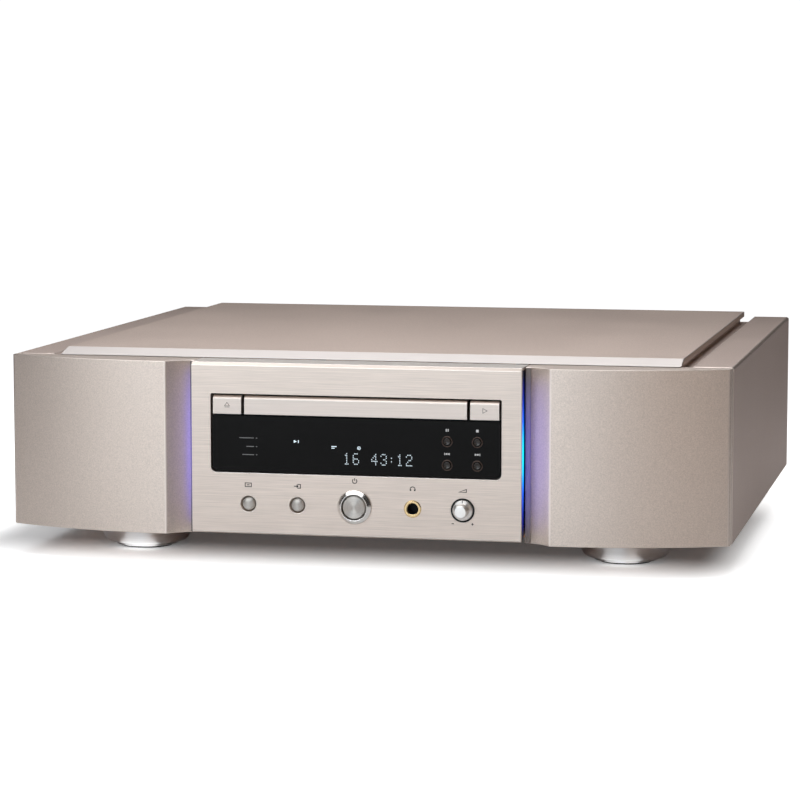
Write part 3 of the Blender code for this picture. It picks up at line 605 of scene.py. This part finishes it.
def build_feet():
    """Turned aluminium bowls with a stepped waist, each on a thin damping pad."""
    for end in ("front", "rear"):
        for side in ("left", "right"):
            node = f"foot_{end}_{side}"
            pad = f"foot_pad_{end}_{side}"
            place = (middle(node, "X"), middle(node, "Y"), 0)
            top = high(node, "Z")
            radius = (high(node, "X") - low(node, "X")) / 2
            bottom = low(node, "Z")
            pad_radius = (high(pad, "X") - low(pad, "X")) / 2
            waist = pad_radius + 1.4
            bowl = [(0, top), (radius - 0.8, top), (radius, top - 0.8), (radius, BOWL_START)]
            for step in range(1, 9):
                turn = math.radians(11 * step)
                across = radius - BOWL_REACH * (1 - math.cos(turn))
                bowl.append((across, BOWL_START - BOWL_DROP * math.sin(turn)))
            bowl += [(waist + 2.8, bottom + 2.0), (waist + 2.3, bottom + 1.4), (waist + 2.1, bottom + 0.3)]
            bowl += [(waist + 1.4, bottom), (0, bottom)]
            piece = turned(node + "_turned", rounded(bowl, 0.4), place, finishes["foot_metal"], "up")
            keep(piece, "root", "foot_metal", node)
            disc = [(0, high(pad, "Z")), (pad_radius, high(pad, "Z")), (pad_radius, 0), (0, 0)]
            felt = turned(pad + "_felt", rounded(disc, 0.25), place, finishes["foot_pad"], "up")
            keep(felt, "root", "foot_pad", pad)


# ---------------------------------------------------------------- front

SHADE_STRIP_NEAR, SHADE_STRIP_FAR = 100.4, 103.4  # from the middle of the player


def build_light_guides():
    """The lit strips, and along the foot of each cove beside them a dark strip of painted shade with a
    painted blue glow.
    """
    for side in ("left", "right"):
        node = "light_bar_" + side
        strip = refined(node, 0.4, 3)
        strip.visible_diffuse = False
        strip.visible_glossy = False
        way = 1 if side == "right" else -1
        half = (SHADE_STRIP_FAR - SHADE_STRIP_NEAR) / 2
        bottom, top = low("cheek_" + side, "Z") + 0.3, high("cheek_" + side, "Z") - 0.6
        outline = moved(oblong(half, bottom, top), way * (SHADE_STRIP_NEAR + half), 0)
        back = high(node, "Y")
        # a dark strip of painted shade, glowing blue with painted light, where the cove's foot lies in shade
        shade_strip = solid("reveal_seal_" + side, outline, "Y", back - 0.35, back + 0.3, PAINTED_SHADE_GLOW_LOOK)
        keep(softened(shade_strip, 0.12), "root", "light_guide")


def build_window_and_bars():
    refined("display_window", 0.25, 3)
    for node in ("tray_front", "eject_button", "play_button"):
        # rounded edges in a lighter metal as a painted highlight
        refined(node, 0.16, edge=EDGE_PAINTED_HIGHLIGHT)


def build_small_buttons():
    """Four domed black buttons in polished bezels set in the window."""
    for node in ("pause_button", "stop_button", "previous_button", "next_button"):
        place = (middle(node, "X"), low(node, "Y"), middle(node, "Z"))
        dish = [(0, -0.6), (1.1, -0.35), (1.9, 0.0), (2.3, -0.5), (2.3, -5.0), (0, -5.0)]
        cap = turned(node + "_cap", rounded(dish, 0.25), place, finishes["small_button_black"], sides=48)
        keep(cap, body_of(node), "small_button_black", node)
        place = (place[0], low("display_window", "Y"), place[2])
        rim = [(2.62, -1.0), (2.62, 0.1), (2.75, 0.3), (3.1, 0.3), (3.3, 0.1), (3.3, -1.0)]
        bezel = turned(node + "_bezel", rounded(rim, 0.1), place, RIM, sides=48, closed=True)
        keep(bezel, "root", "small_button_black")


def build_press_buttons():
    """The display and input buttons: low domed caps of spun metal."""
    dome = [(0, 0.0), (1.2, -0.04), (2.4, -0.24), (3.3, -0.85), (3.8, -1.7), (3.8, -9.7), (0, -9.7)]
    for node in ("display_button", "input_button"):
        place = (middle(node, "X"), low(node, "Y"), ROW_Z)
        cap = turned(node + "_cap", rounded(dome, 0.3), place, finishes["spun_metal"])
        keep(cap, body_of(node), "polished_metal", node)


def build_power_button():
    """A spun disc on a stem, in a polished ring that stands proud of the fascia."""
    place = (middle("power_ring", "X"), FACE, ROW_Z)
    ring = [(7.55, -10.5), (7.55, 2.8), (8.0, 3.1), (10.1, 1.1), (10.3, 0.7), (10.3, 0.3)]
    ring += [(8.6, 0.3), (8.6, -10.5)]
    look = finishes["polished_metal"]
    piece = turned("power_ring_polished", rounded(ring, 0.25), place, look, closed=True)
    keep(piece, "root", "polished_metal", "power_ring")
    disc = [(0, 2.45), (6.3, 2.6), (6.75, 2.2), (6.8, -14.0), (3.0, -14.0), (3.0, -26.0), (0, -26.0)]
    piece = turned("power_disc", rounded(disc, 0.3), place, finishes["spun_metal"])
    keep(piece, body_of("power_button"), "spun_metal", "power_button")


def build_headphone_socket():
    """A gold ring round a dark bore, in front of the socket's own node."""
    place = (middle("headphone_socket", "X"), FACE, ROW_Z)
    ring = [(3.25, -9.0), (3.25, 0.45), (3.6, 0.8), (4.6, 0.8), (5.15, 0.35), (5.15, 0.02)]
    ring += [(4.2, -0.3), (4.2, -9.0)]
    look = finishes["socket_brass"]
    piece = turned("headphone_ring", rounded(ring, 0.12), place, look, closed=True)
    keep(piece, "root", "socket_brass")
    bore = turned("headphone_bore", [(0, -8.0), (3.2, -8.0), (3.22, 0.3)], place, BORE_BLACK_AND_PAINTED_SHADE)
    keep(bore, "root", "moulding_black")


def build_level_knob():
    """A turned knob with a flared skirt and a dark tick, in a thin dark ring that is the painted shade of
    the gap round the knob.
    """
    place = (middle("level_knob", "X"), FACE, ROW_Z)
    # the gap round the knob: a dark ring of painted shade
    ring = [(6.3, -2.0), (6.3, 0.12), (6.45, 0.22), (6.95, 0.22), (7.1, 0.1), (7.1, -2.0)]
    piece = turned("level_ring", ring, place, BORE_BLACK_AND_PAINTED_SHADE, closed=True)
    keep(piece, "root", "moulding_black")
    proud = FACE - low("level_knob", "Y")
    knob = [(0, proud - 0.15), (3.3, proud), (4.0, proud - 0.6), (4.0, 1.7), (5.9, 0.7), (6.1, 0.2)]
    knob += [(6.1, -4.0), (1.25, -4.0), (1.25, 3.9), (0, 3.9)]
    piece = turned("level_knob_turned", rounded(knob, 0.3), place, finishes["knob_metal"])
    keep(piece, "level_knob", "knob_metal", "level_knob")
    outline = moved(oblong(0.16, 4.4, 5.9), place[0], ROW_Z)
    tick = solid("level_knob_tick", outline, "Y", FACE - 1.5, FACE - 0.7, PRINT_DARK)
    keep(tick, "level_knob", "knob_metal")


# ---------------------------------------------------------------- prints and display

DIGITS = {
    "0": "01110 10001 10011 10101 11001 10001 01110",
    "1": "00100 01100 00100 00100 00100 00100 01110",
    "2": "01110 10001 00001 00110 01000 10000 11111",
    "3": "01110 10001 00001 00110 00001 10001 01110",
    "4": "00010 00110 01010 10010 11111 00010 00010",
    "6": "01110 10000 10000 11110 10001 10001 01110",
}
DIGIT_LEFT = -6.6
DIGIT_HIGH = 70.7
DIGIT_ADVANCE = 5.58
DOT_PITCH = 6.8 / 6.6  # up; across it is narrower by DOT_SQUEEZE
DOT_SQUEEZE = 0.78
DOT_HALF = 0.27  # of the pitch
PROUD = 0.05


def dot_boxes(places, half, front, back, name, look):
    """One mesh of many small dots; half is half a dot's width and height."""
    shape = bmesh.new()
    for x, z in places:
        centre = Vector((x, (front + back) / 2, z)) * MM
        size = Matrix.Diagonal((2 * half[0] * MM, (back - front) * MM, 2 * half[1] * MM, 1))
        bmesh.ops.create_cube(shape, size=1, matrix=Matrix.Translation(centre) @ size)
    mesh = bpy.data.meshes.new(name)
    shape.to_mesh(mesh)
    shape.free()
    return link(name, mesh, look)


def build_digits():
    """Track number and time in five by seven dots."""
    front = low("display_window", "Y")
    pitch_x = DOT_PITCH * DOT_SQUEEZE
    dots = []
    columns = {0: "1", 1: "6", 3: "4", 4: "3", 5.75: "1", 6.75: "2"}
    for column, digit in columns.items():
        for row, line in enumerate(DIGITS[digit].split()):
            for place, lit in enumerate(line):
                if lit == "1":
                    x = DIGIT_LEFT + column * DIGIT_ADVANCE + place * pitch_x
                    dots.append((x, DIGIT_HIGH - (row + 0.3) * DOT_PITCH))
    colon = DIGIT_LEFT + 5.13 * DIGIT_ADVANCE
    dots += [(colon, DIGIT_HIGH - 2.3 * DOT_PITCH), (colon, DIGIT_HIGH - 4.3 * DOT_PITCH)]
    half = (pitch_x * DOT_HALF, DOT_PITCH * DOT_HALF)
    piece = dot_boxes(dots, half, front - PROUD, front, "display_digits", DISPLAY_LIT)
    keep(piece, "root", "display_glass")


def ribbon(shape, points, width, front, back):
    """A thin flat line through (x, z) points, closed where its first and last point are the same."""
    closed = points[0] == points[-1]
    spots = [Vector(point) for point in (points[:-1] if closed else points)]
    rings = []
    for index, here in enumerate(spots):
        before = spots[index - 1] if closed or index else None
        after = spots[(index + 1) % len(spots)] if closed or index < len(spots) - 1 else None
        way_in = (here - before if before else after - here).normalized()
        way_out = (after - here if after else here - before).normalized()
        across = Vector((-way_in.y - way_out.y, way_in.x + way_out.x)).normalized()
        reach = width / 2 / max(across.dot(Vector((-way_out.y, way_out.x))), 0.4)
        left, right = here + across * reach, here - across * reach
        corners = ((left, front), (right, front), (right, back), (left, back))
        rings.append([shape.verts.new(Vector((spot.x, depth, spot.y)) * MM) for spot, depth in corners])
    pairs = list(zip(rings, rings[1:]))
    if closed:
        pairs.append((rings[-1], rings[0]))
    else:
        shape.faces.new(rings[0])
        shape.faces.new(rings[-1])
    for near, far in pairs:
        for side in range(4):
            after = (side + 1) % 4
            shape.faces.new((near[side], near[after], far[after], far[side]))


def marks(name, x, z, front, lines, look, width=0.28, depth=PROUD, body="root", slot="window_black"):
    """Printed or engraved lines about a point on a face that looks to the front."""
    shape = bmesh.new()
    for line in lines:
        ribbon(shape, [(x + across, z + up) for across, up in line], width, front - depth, front + 0.1)
    bmesh.ops.recalc_face_normals(shape, faces=shape.faces)
    mesh = bpy.data.meshes.new(name)
    shape.to_mesh(mesh)
    shape.free()
    return keep(link(name, mesh, look), body, slot)


def bow(radius, start, end, steps=20):
    """Points on an arc about the origin, from one angle to another in degrees."""
    angles = [math.radians(start + (end - start) * step / steps) for step in range(steps + 1)]
    return [(radius * math.cos(angle), radius * math.sin(angle)) for angle in angles]


def filled(base, tip, half, count=4):
    """Lines close enough together to fill a triangle from its base's x to its tip's x."""
    lines = []
    for number in range(count):
        share = (number + 0.5) / count
        x = base + (tip - base) * share
        tall = half * (1 - share)
        lines.append([(x, -tall), (x, tall)])
    return lines


def build_window_marks():
    """White symbols with a painted glow over the four small buttons, grey lines at the left and the lit
    annunciators.
    """
    front = low("display_window", "Y")
    symbols = {
        "pause_button": ([[(-0.55, -0.8), (-0.55, 0.8)], [(0.55, -0.8), (0.55, 0.8)]], 0.6),
        "stop_button": ([[(-0.75, 0), (0.75, 0)]], 1.5),
        "previous_button": (
            [[(-1.5, -0.7), (-1.5, 0.7)]] + filled(0.1, -1.3, 0.7) + filled(1.5, 0.1, 0.7),
            0.36,
        ),
        "next_button": (
            [[(1.5, -0.7), (1.5, 0.7)]] + filled(-0.1, 1.3, 0.7) + filled(-1.5, -0.1, 0.7),
            0.36,
        ),
    }
    for node, (lines, width) in symbols.items():
        x, z = middle(node, "X"), middle(node, "Z") + 6.7
        marks(node + "_symbol", x, z, front, lines, WHITE_PRINT_PAINTED_GLOW, width)
    lines = []
    for up, length in ((10.0, 9.0), (4.9, 4.6), (0.0, 7.2)):
        lines += [[(-length, up), (0.0, up)], [(1.2, up), (2.0, up)]]
    marks("indicator_lines", -61.6, 68.2, front, lines, PRINT_GREY, 0.5)
    disc = [bow(0.9, 0, 360, 16), bow(0.25, 0, 360, 8)]
    marks("annunciator_disc", 2.4, 73.8, front, disc, DISPLAY_LIT, 0.3)
    track = [[(-1.6, 0.6), (1.6, 0.6)], [(-1.6, -0.4), (0.4, -0.4)]]
    marks("annunciator_track", -12.7, 73.8, front, track, DISPLAY_LIT, 0.45)
    play = filled(-1.5, 0.3, 0.9) + [[(1.3, -0.8), (1.3, 0.8)]]
    marks("annunciator_play", -35.7, 76.8, front, play, DISPLAY_LIT, 0.5)


def build_fascia_marks():
    """A plain symbol over each control of the lower row, and end marks under the level knob."""
    screen = [(-1.9, -1.1), (1.9, -1.1), (1.9, 1.1), (-1.9, 1.1), (-1.9, -1.1)]
    arrow = [[(-2.0, 0), (0.5, 0)], [(-0.3, 0.75), (0.5, 0), (-0.3, -0.75)]]
    bracket = [(0.1, 1.1), (2.0, 1.1), (2.0, -1.1), (0.1, -1.1)]
    phones = [[(-1.5, -0.9)] + bow(1.5, 180, 0) + [(1.5, -0.9)]]
    phones += [[(-1.05, -0.95), (-1.05, 0.0)], [(1.05, -0.95), (1.05, 0.0)]]
    wedge = [(-2.2, -0.8), (2.2, -0.8), (2.2, 0.9), (-2.2, -0.8)]
    power = [bow(1.35, 128, 412), [(0, 0.2), (0, 1.75)]]
    symbols = (
        ("display_button", 11.4, [screen, [(-0.8, 0), (0.8, 0)]]),
        ("input_button", 11.4, arrow + [bracket]),
        ("power_button", 15.5, power),
        ("headphone_socket", 11.6, phones),
        ("level_knob", 11.6, [wedge]),
    )
    for node, up, lines in symbols:
        x = middle(node, "X")
        marks(node + "_symbol", x, ROW_Z + up, FACE, lines, PRINT_DARK, 0.5, slot="fascia_metal")
    x = middle("level_knob", "X")
    minus = [[(-6.6, -8.0), (-5.2, -8.0)]]
    plus = [[(5.2, -8.0), (6.6, -8.0)], [(5.9, -8.7), (5.9, -7.3)]]
    marks("level_end_marks", x, ROW_Z, FACE, minus + plus, PRINT_DARK, 0.5, slot="fascia_metal")


def build_bar_marks():
    """Outline triangles on the open and play buttons, drawn as flat dark lines whose darkness is the painted
    shade of engraved grooves.
    """
    up = [(-1.5, -0.7), (1.5, -0.7), (0, 1.4), (-1.5, -0.7)]
    on = [(-1.1, -1.4), (-1.1, 1.4), (1.5, 0), (-1.1, -1.4)]
    for node, lines in (("eject_button", [up, [(-1.5, -1.4), (1.5, -1.4)]]), ("play_button", [on])):
        place = (middle(node, "X"), middle(node, "Z"), low(node, "Y"))
        marks(node + "_symbol", *place, lines, ENGRAVING_PAINTED_SHADE, 0.3, 0.02, body_of(node), "bar_metal")


# ---------------------------------------------------------------- rear

def cross_screw(radius):
    """The mesh of a pan-head screw with a cross recess, its top along Z."""
    tall = radius * 0.55
    profile = [(0, tall), (radius * 0.55, tall * 0.92), (radius * 0.9, tall * 0.55), (radius, 0), (0, 0)]
    head = turned("screw", rounded(profile, 0.15), (0, 0, 0), finishes["steel"], "up", 32)
    arm, thin = radius * 0.52, radius * 0.11
    outline = [(-arm, -thin), (-thin, -thin), (-thin, -arm), (thin, -arm), (thin, -thin), (arm, -thin)]
    outline += [(-x, -y) for x, y in outline]
    cut(head, solid("recess", outline, "Z", tall * 0.35, tall * 2, finishes["steel"]))
    mesh = head.data
    bpy.data.objects.remove(head)
    return mesh


def screws(name, places, facing, radius=2.9):
    """A set of screws whose heads look the same way, as one piece."""
    mesh = cross_screw(radius)
    heads = []
    for index, place in enumerate(places):
        head = link("head", mesh.copy())
        head.location = Vector(place) * MM
        head.rotation_euler = FACING[facing]
        head.rotation_euler.rotate_axis("Z", 0.7 * index)
        heads.append(head)
    keep(joined(name, heads), "root", "steel")


def build_rear():
    """Turned output sockets, the digital sockets beside them and the screws of the case."""
    brass = finishes["socket_brass"]
    black = finishes["moulding_black"]
    for node in ("line_socket_left", "line_socket_right"):
        place = (middle(node, "X"), REAR, middle(node, "Z"))
        tip = high(node, "Y") - REAR
        jack = [(1.7, -9.0), (1.7, tip - 0.2), (2.0, tip), (3.9, tip), (4.15, tip - 0.4), (4.15, 9.0)]
        jack += [(3.6, 8.7), (3.6, 4.4), (5.4, 4.4), (6.0, 3.8), (6.5, 3.3), (6.5, 0.3), (4.0, 0.3)]
        jack += [(4.0, -9.0)]
        piece = turned(node + "_turned", rounded(jack, 0.15), place, brass, "rear", closed=True)
        keep(piece, "root", "socket_brass", node)
    z = middle("line_socket_left", "Z")
    collar = [(2.2, 0.3), (2.2, 7.6), (3.7, 7.6), (4.1, 7.2), (4.1, 2.2), (5.6, 2.2), (5.9, 1.9)]
    collar += [(5.9, 0.3)]
    for index, x in enumerate((-104.0, -32.0)):
        name = f"digital_socket_{index}"
        jack = turned(name, rounded(collar, 0.15), (x, REAR, z), brass, "rear", closed=True)
        keep(jack, "root", "socket_brass")
    for index, (x, half) in enumerate(((-122.0, 6.0), (-50.0, 6.0), (-78.0, 6.6))):
        outline = moved(oblong(half, -half, half), x, z)
        block = solid(f"block_socket_{index}", outline, "Y", REAR + 0.2, REAR + 4.0, black)
        outline = moved(oblong(half - 2, 2 - half, half - 2), x, z)
        cut(block, solid("mouth", outline, "Y", REAR + 1.0, REAR + 6.0, BORE_BLACK_AND_PAINTED_SHADE))
        keep(softened(block, 0.3), "root", "moulding_black")
    edge_x = high("rear_panel", "X") - 7
    spots = [(x, REAR + 0.05, up) for x in (-edge_x, -70, 70, edge_x) for up in (27, 109)]
    screws("rear_screws", spots, "rear")
    under = low("base_plate", "Z")
    spots = [(x, y, under - 0.05) for x in (-200, -70, 70, 200) for y in (-150, 20, 180)]
    screws("base_screws", spots, "down", 2.6)


# ---------------------------------------------------------------- stage

def floor_sheet(name, height, stretch, drift, clear, spread, colour, least, most):
    """A pale floor with a light of its own that grows from least to most away from the player; the dim patch
    this leaves round the player is a painted shadow.

    With X stretched and the middle moved back by drift, it grows outside a box of clear half sizes
    over the spread.
    """
    look = Finish(name, Roughness=0.7, Specular_IOR_Level=0.2)
    cloud = look.noise(look.place(), 3.0, 3.0)
    look.feed("Base Color", look.blend(cloud, (0.88, 0.88, 0.88, 1), (0.90, 0.90, 0.90, 1)))
    spot = look.place((stretch, 1, 1))
    zero = (0, 0, 0)
    steps = (("ADD", (*drift, 0)), ("ABSOLUTE", zero), ("SUBTRACT", (*clear, 0)), ("MAXIMUM", zero))
    for operation, other in steps:
        spot = look.node("ShaderNodeVectorMath", {0: spot, 1: other}, operation=operation).outputs[0]
    away = look.node("ShaderNodeVectorMath", {0: spot}, operation="LENGTH").outputs["Value"]
    # the floor's own light is weak near the player: a painted shadow
    inputs = {"Value": away, 1: 0.0, 2: spread, 3: least, 4: most}
    glow_with_painted_shadow = look.node("ShaderNodeMapRange", inputs, interpolation_type="SMOOTHSTEP")
    look.feed("Emission Strength", glow_with_painted_shadow.outputs[0])
    look.shader.inputs["Emission Color"].default_value = (*colour, 1)
    bpy.ops.mesh.primitive_plane_add(size=24.0, location=(0, 0, height))
    sheet = bpy.context.object
    sheet.name = name
    sheet.data.materials.append(look.material)
    return sheet


def build_stage():
    """A pale seamless floor, whose own light paints a shadow round the player over the lamps' real shadows,
    and surround; neither is part of the player.
    """
    # the floor the camera sees: lit by the lamps, with a painted shadow round the player in its own light
    seen = floor_sheet(
        "floor", 0, stretch=2.6, drift=(0.06, 0.03), clear=(0.56, 0.075), spread=0.12,
        colour=(1, 1, 1), least=0.05, most=1.0,
    )
    # the floor that only bounce light and reflections see, whose weak glow also leaves a painted shadow
    # under the player
    bounce = floor_sheet(
        "floor_bounce", -0.0005, stretch=1, drift=(0, 0), clear=(0.20, 0.19), spread=0.22,
        colour=(1.0, 0.86, 0.85), least=0, most=0.12,
    )
    bounce.visible_camera = False
    bpy.ops.mesh.primitive_uv_sphere_add(radius=11.5, segments=48, ring_count=24)
    dome = bpy.context.object
    dome.name = "surround"
    dome_look = Finish("white_surround", Roughness=1.0)
    dome_look.shader.inputs["Base Color"].default_value = (0, 0, 0, 1)
    dome_look.shader.inputs["Emission Color"].default_value = (1, 1, 1, 1)
    dome_look.shader.inputs["Emission Strength"].default_value = 1.05
    dome.data.materials.append(dome_look.material)
    for item in (seen, dome):
        item.visible_diffuse = False
        item.visible_glossy = False
        item.visible_shadow = False
        item.visible_transmission = False


def softbox(name, place, size, power, tint, target=(0, 0, 0.07), shape="RECTANGLE"):
    lamp = bpy.data.lights.new(name, "AREA")
    lamp.shape = shape
    lamp.size, lamp.size_y = size
    lamp.energy = power
    lamp.color = tint
    item = bpy.data.objects.new(name, lamp)
    bpy.context.scene.collection.objects.link(item)
    item.location = place
    item.rotation_euler = (Vector(target) - Vector(place)).to_track_quat("-Z", "Y").to_euler()
    item.visible_camera = False


STUDIO = (
    # name, place, width and height, watts, tint
    ("front", (-0.35, -2.6, 0.5), (1.2, 0.9), 3.3, (0.62, 0.83, 1.0)),
    ("front_right", (1.2, -2.2, 0.6), (1.2, 1.0), 3.6, (1.0, 0.81, 0.65)),
    ("front_near", (-0.4, -1.0, 0.55), (0.9, 0.4), 3.1, (0.94, 0.98, 1.0)),
    ("front_low", (-0.3, -1.1, 0.12), (1.2, 0.16), 1.3, (0.88, 0.95, 1.0)),
    ("above_front", (-0.1, -0.35, 0.6), (0.9, 0.25), 2.0, (0.95, 0.97, 1.0)),
    ("above_rear", (0.0, 0.25, 0.7), (0.9, 0.3), 3.1, (1.0, 0.99, 1.0)),
    ("behind", (0.3, 1.6, 1.7), (1.2, 0.8), 0.6, (1.0, 0.98, 0.96)),
)
COVES = (
    # name, side, watts, tint, millimetres in front of the strip, width and height, shape
    ("cove_glow_left", -1, 0.0019, (0.15, 0.135, 1.0), 0, (0.003, 0.095), "ELLIPSE"),
    ("cove_glow_right", 1, 0.0006, (0.20, 0.20, 1.0), 1.5, (0.003, 0.09), "ELLIPSE"),
    ("cove_glow_outer", 1, 0.0010, (0.14, 0.14, 1.0), 4.2, (0.0016, 0.092), "ELLIPSE"),
    ("cove_fill_right", 1, 0.0028, (0.95, 1.0, 1.0), 6.0, (0.0016, 0.104), "RECTANGLE"),
)


def build_lights():
    """Softboxes, cool from the front and warm from the right; cards under the front feet and, in
    the coves, slim lamps that throw the strips' glow on the cheeks."""
    world = bpy.data.worlds.new("studio")
    world.use_nodes = True
    world.node_tree.nodes["Background"].inputs["Color"].default_value = (1, 1, 1, 1)
    world.node_tree.nodes["Background"].inputs["Strength"].default_value = 0.02
    bpy.context.scene.world = world
    for name, place, size, power, tint in STUDIO:
        softbox(name, place, size, power, tint)
    for side, power in (("left", 0.0019), ("right", 0.0013)):
        node = "foot_front_" + side
        x = middle(node, "X") * MM
        y = low(node, "Y") * MM
        softbox(f"card_under_{side}", (x, y, 0.0005), (0.028, 0.022), power, (1, 1, 1), (x, y, 1))
    strip = "light_bar_right"
    for name, way, power, tint, forward, size, shape in COVES:
        place = (way * (high(strip, "X") + 0.3), middle(strip, "Y") - forward, middle(strip, "Z"))
        place = Vector(place) * MM
        softbox(name, place, size, power, tint, place + Vector((way, 0.5, 0)), shape)


def build_camera():
    """A long lens a little above and to the right, fitted to the case's corners in the photo."""
    lens = bpy.data.cameras.new("camera")
    lens.sensor_width = 36.0
    lens.lens = 136.25
    lens.clip_start = 0.05
    lens.clip_end = 60.0
    item = bpy.data.objects.new("camera", lens)
    bpy.context.scene.collection.objects.link(item)
    item.location = (0.401176, -1.927657, 0.298588)
    item.rotation_euler = (math.radians(90 - 6.316), 0, math.radians(12.218))
    bpy.context.scene.camera = item


finish_cad_nodes()
refine_case()
build_feet()
build_light_guides()
build_window_and_bars()
build_small_buttons()
build_press_buttons()
build_power_button()
build_headphone_socket()
build_level_knob()
build_digits()
build_window_marks()
build_fascia_marks()
build_bar_marks()
build_rear()
build_stage()
build_lights()
build_camera()
bpy.context.scene.view_settings.view_transform = "Standard"
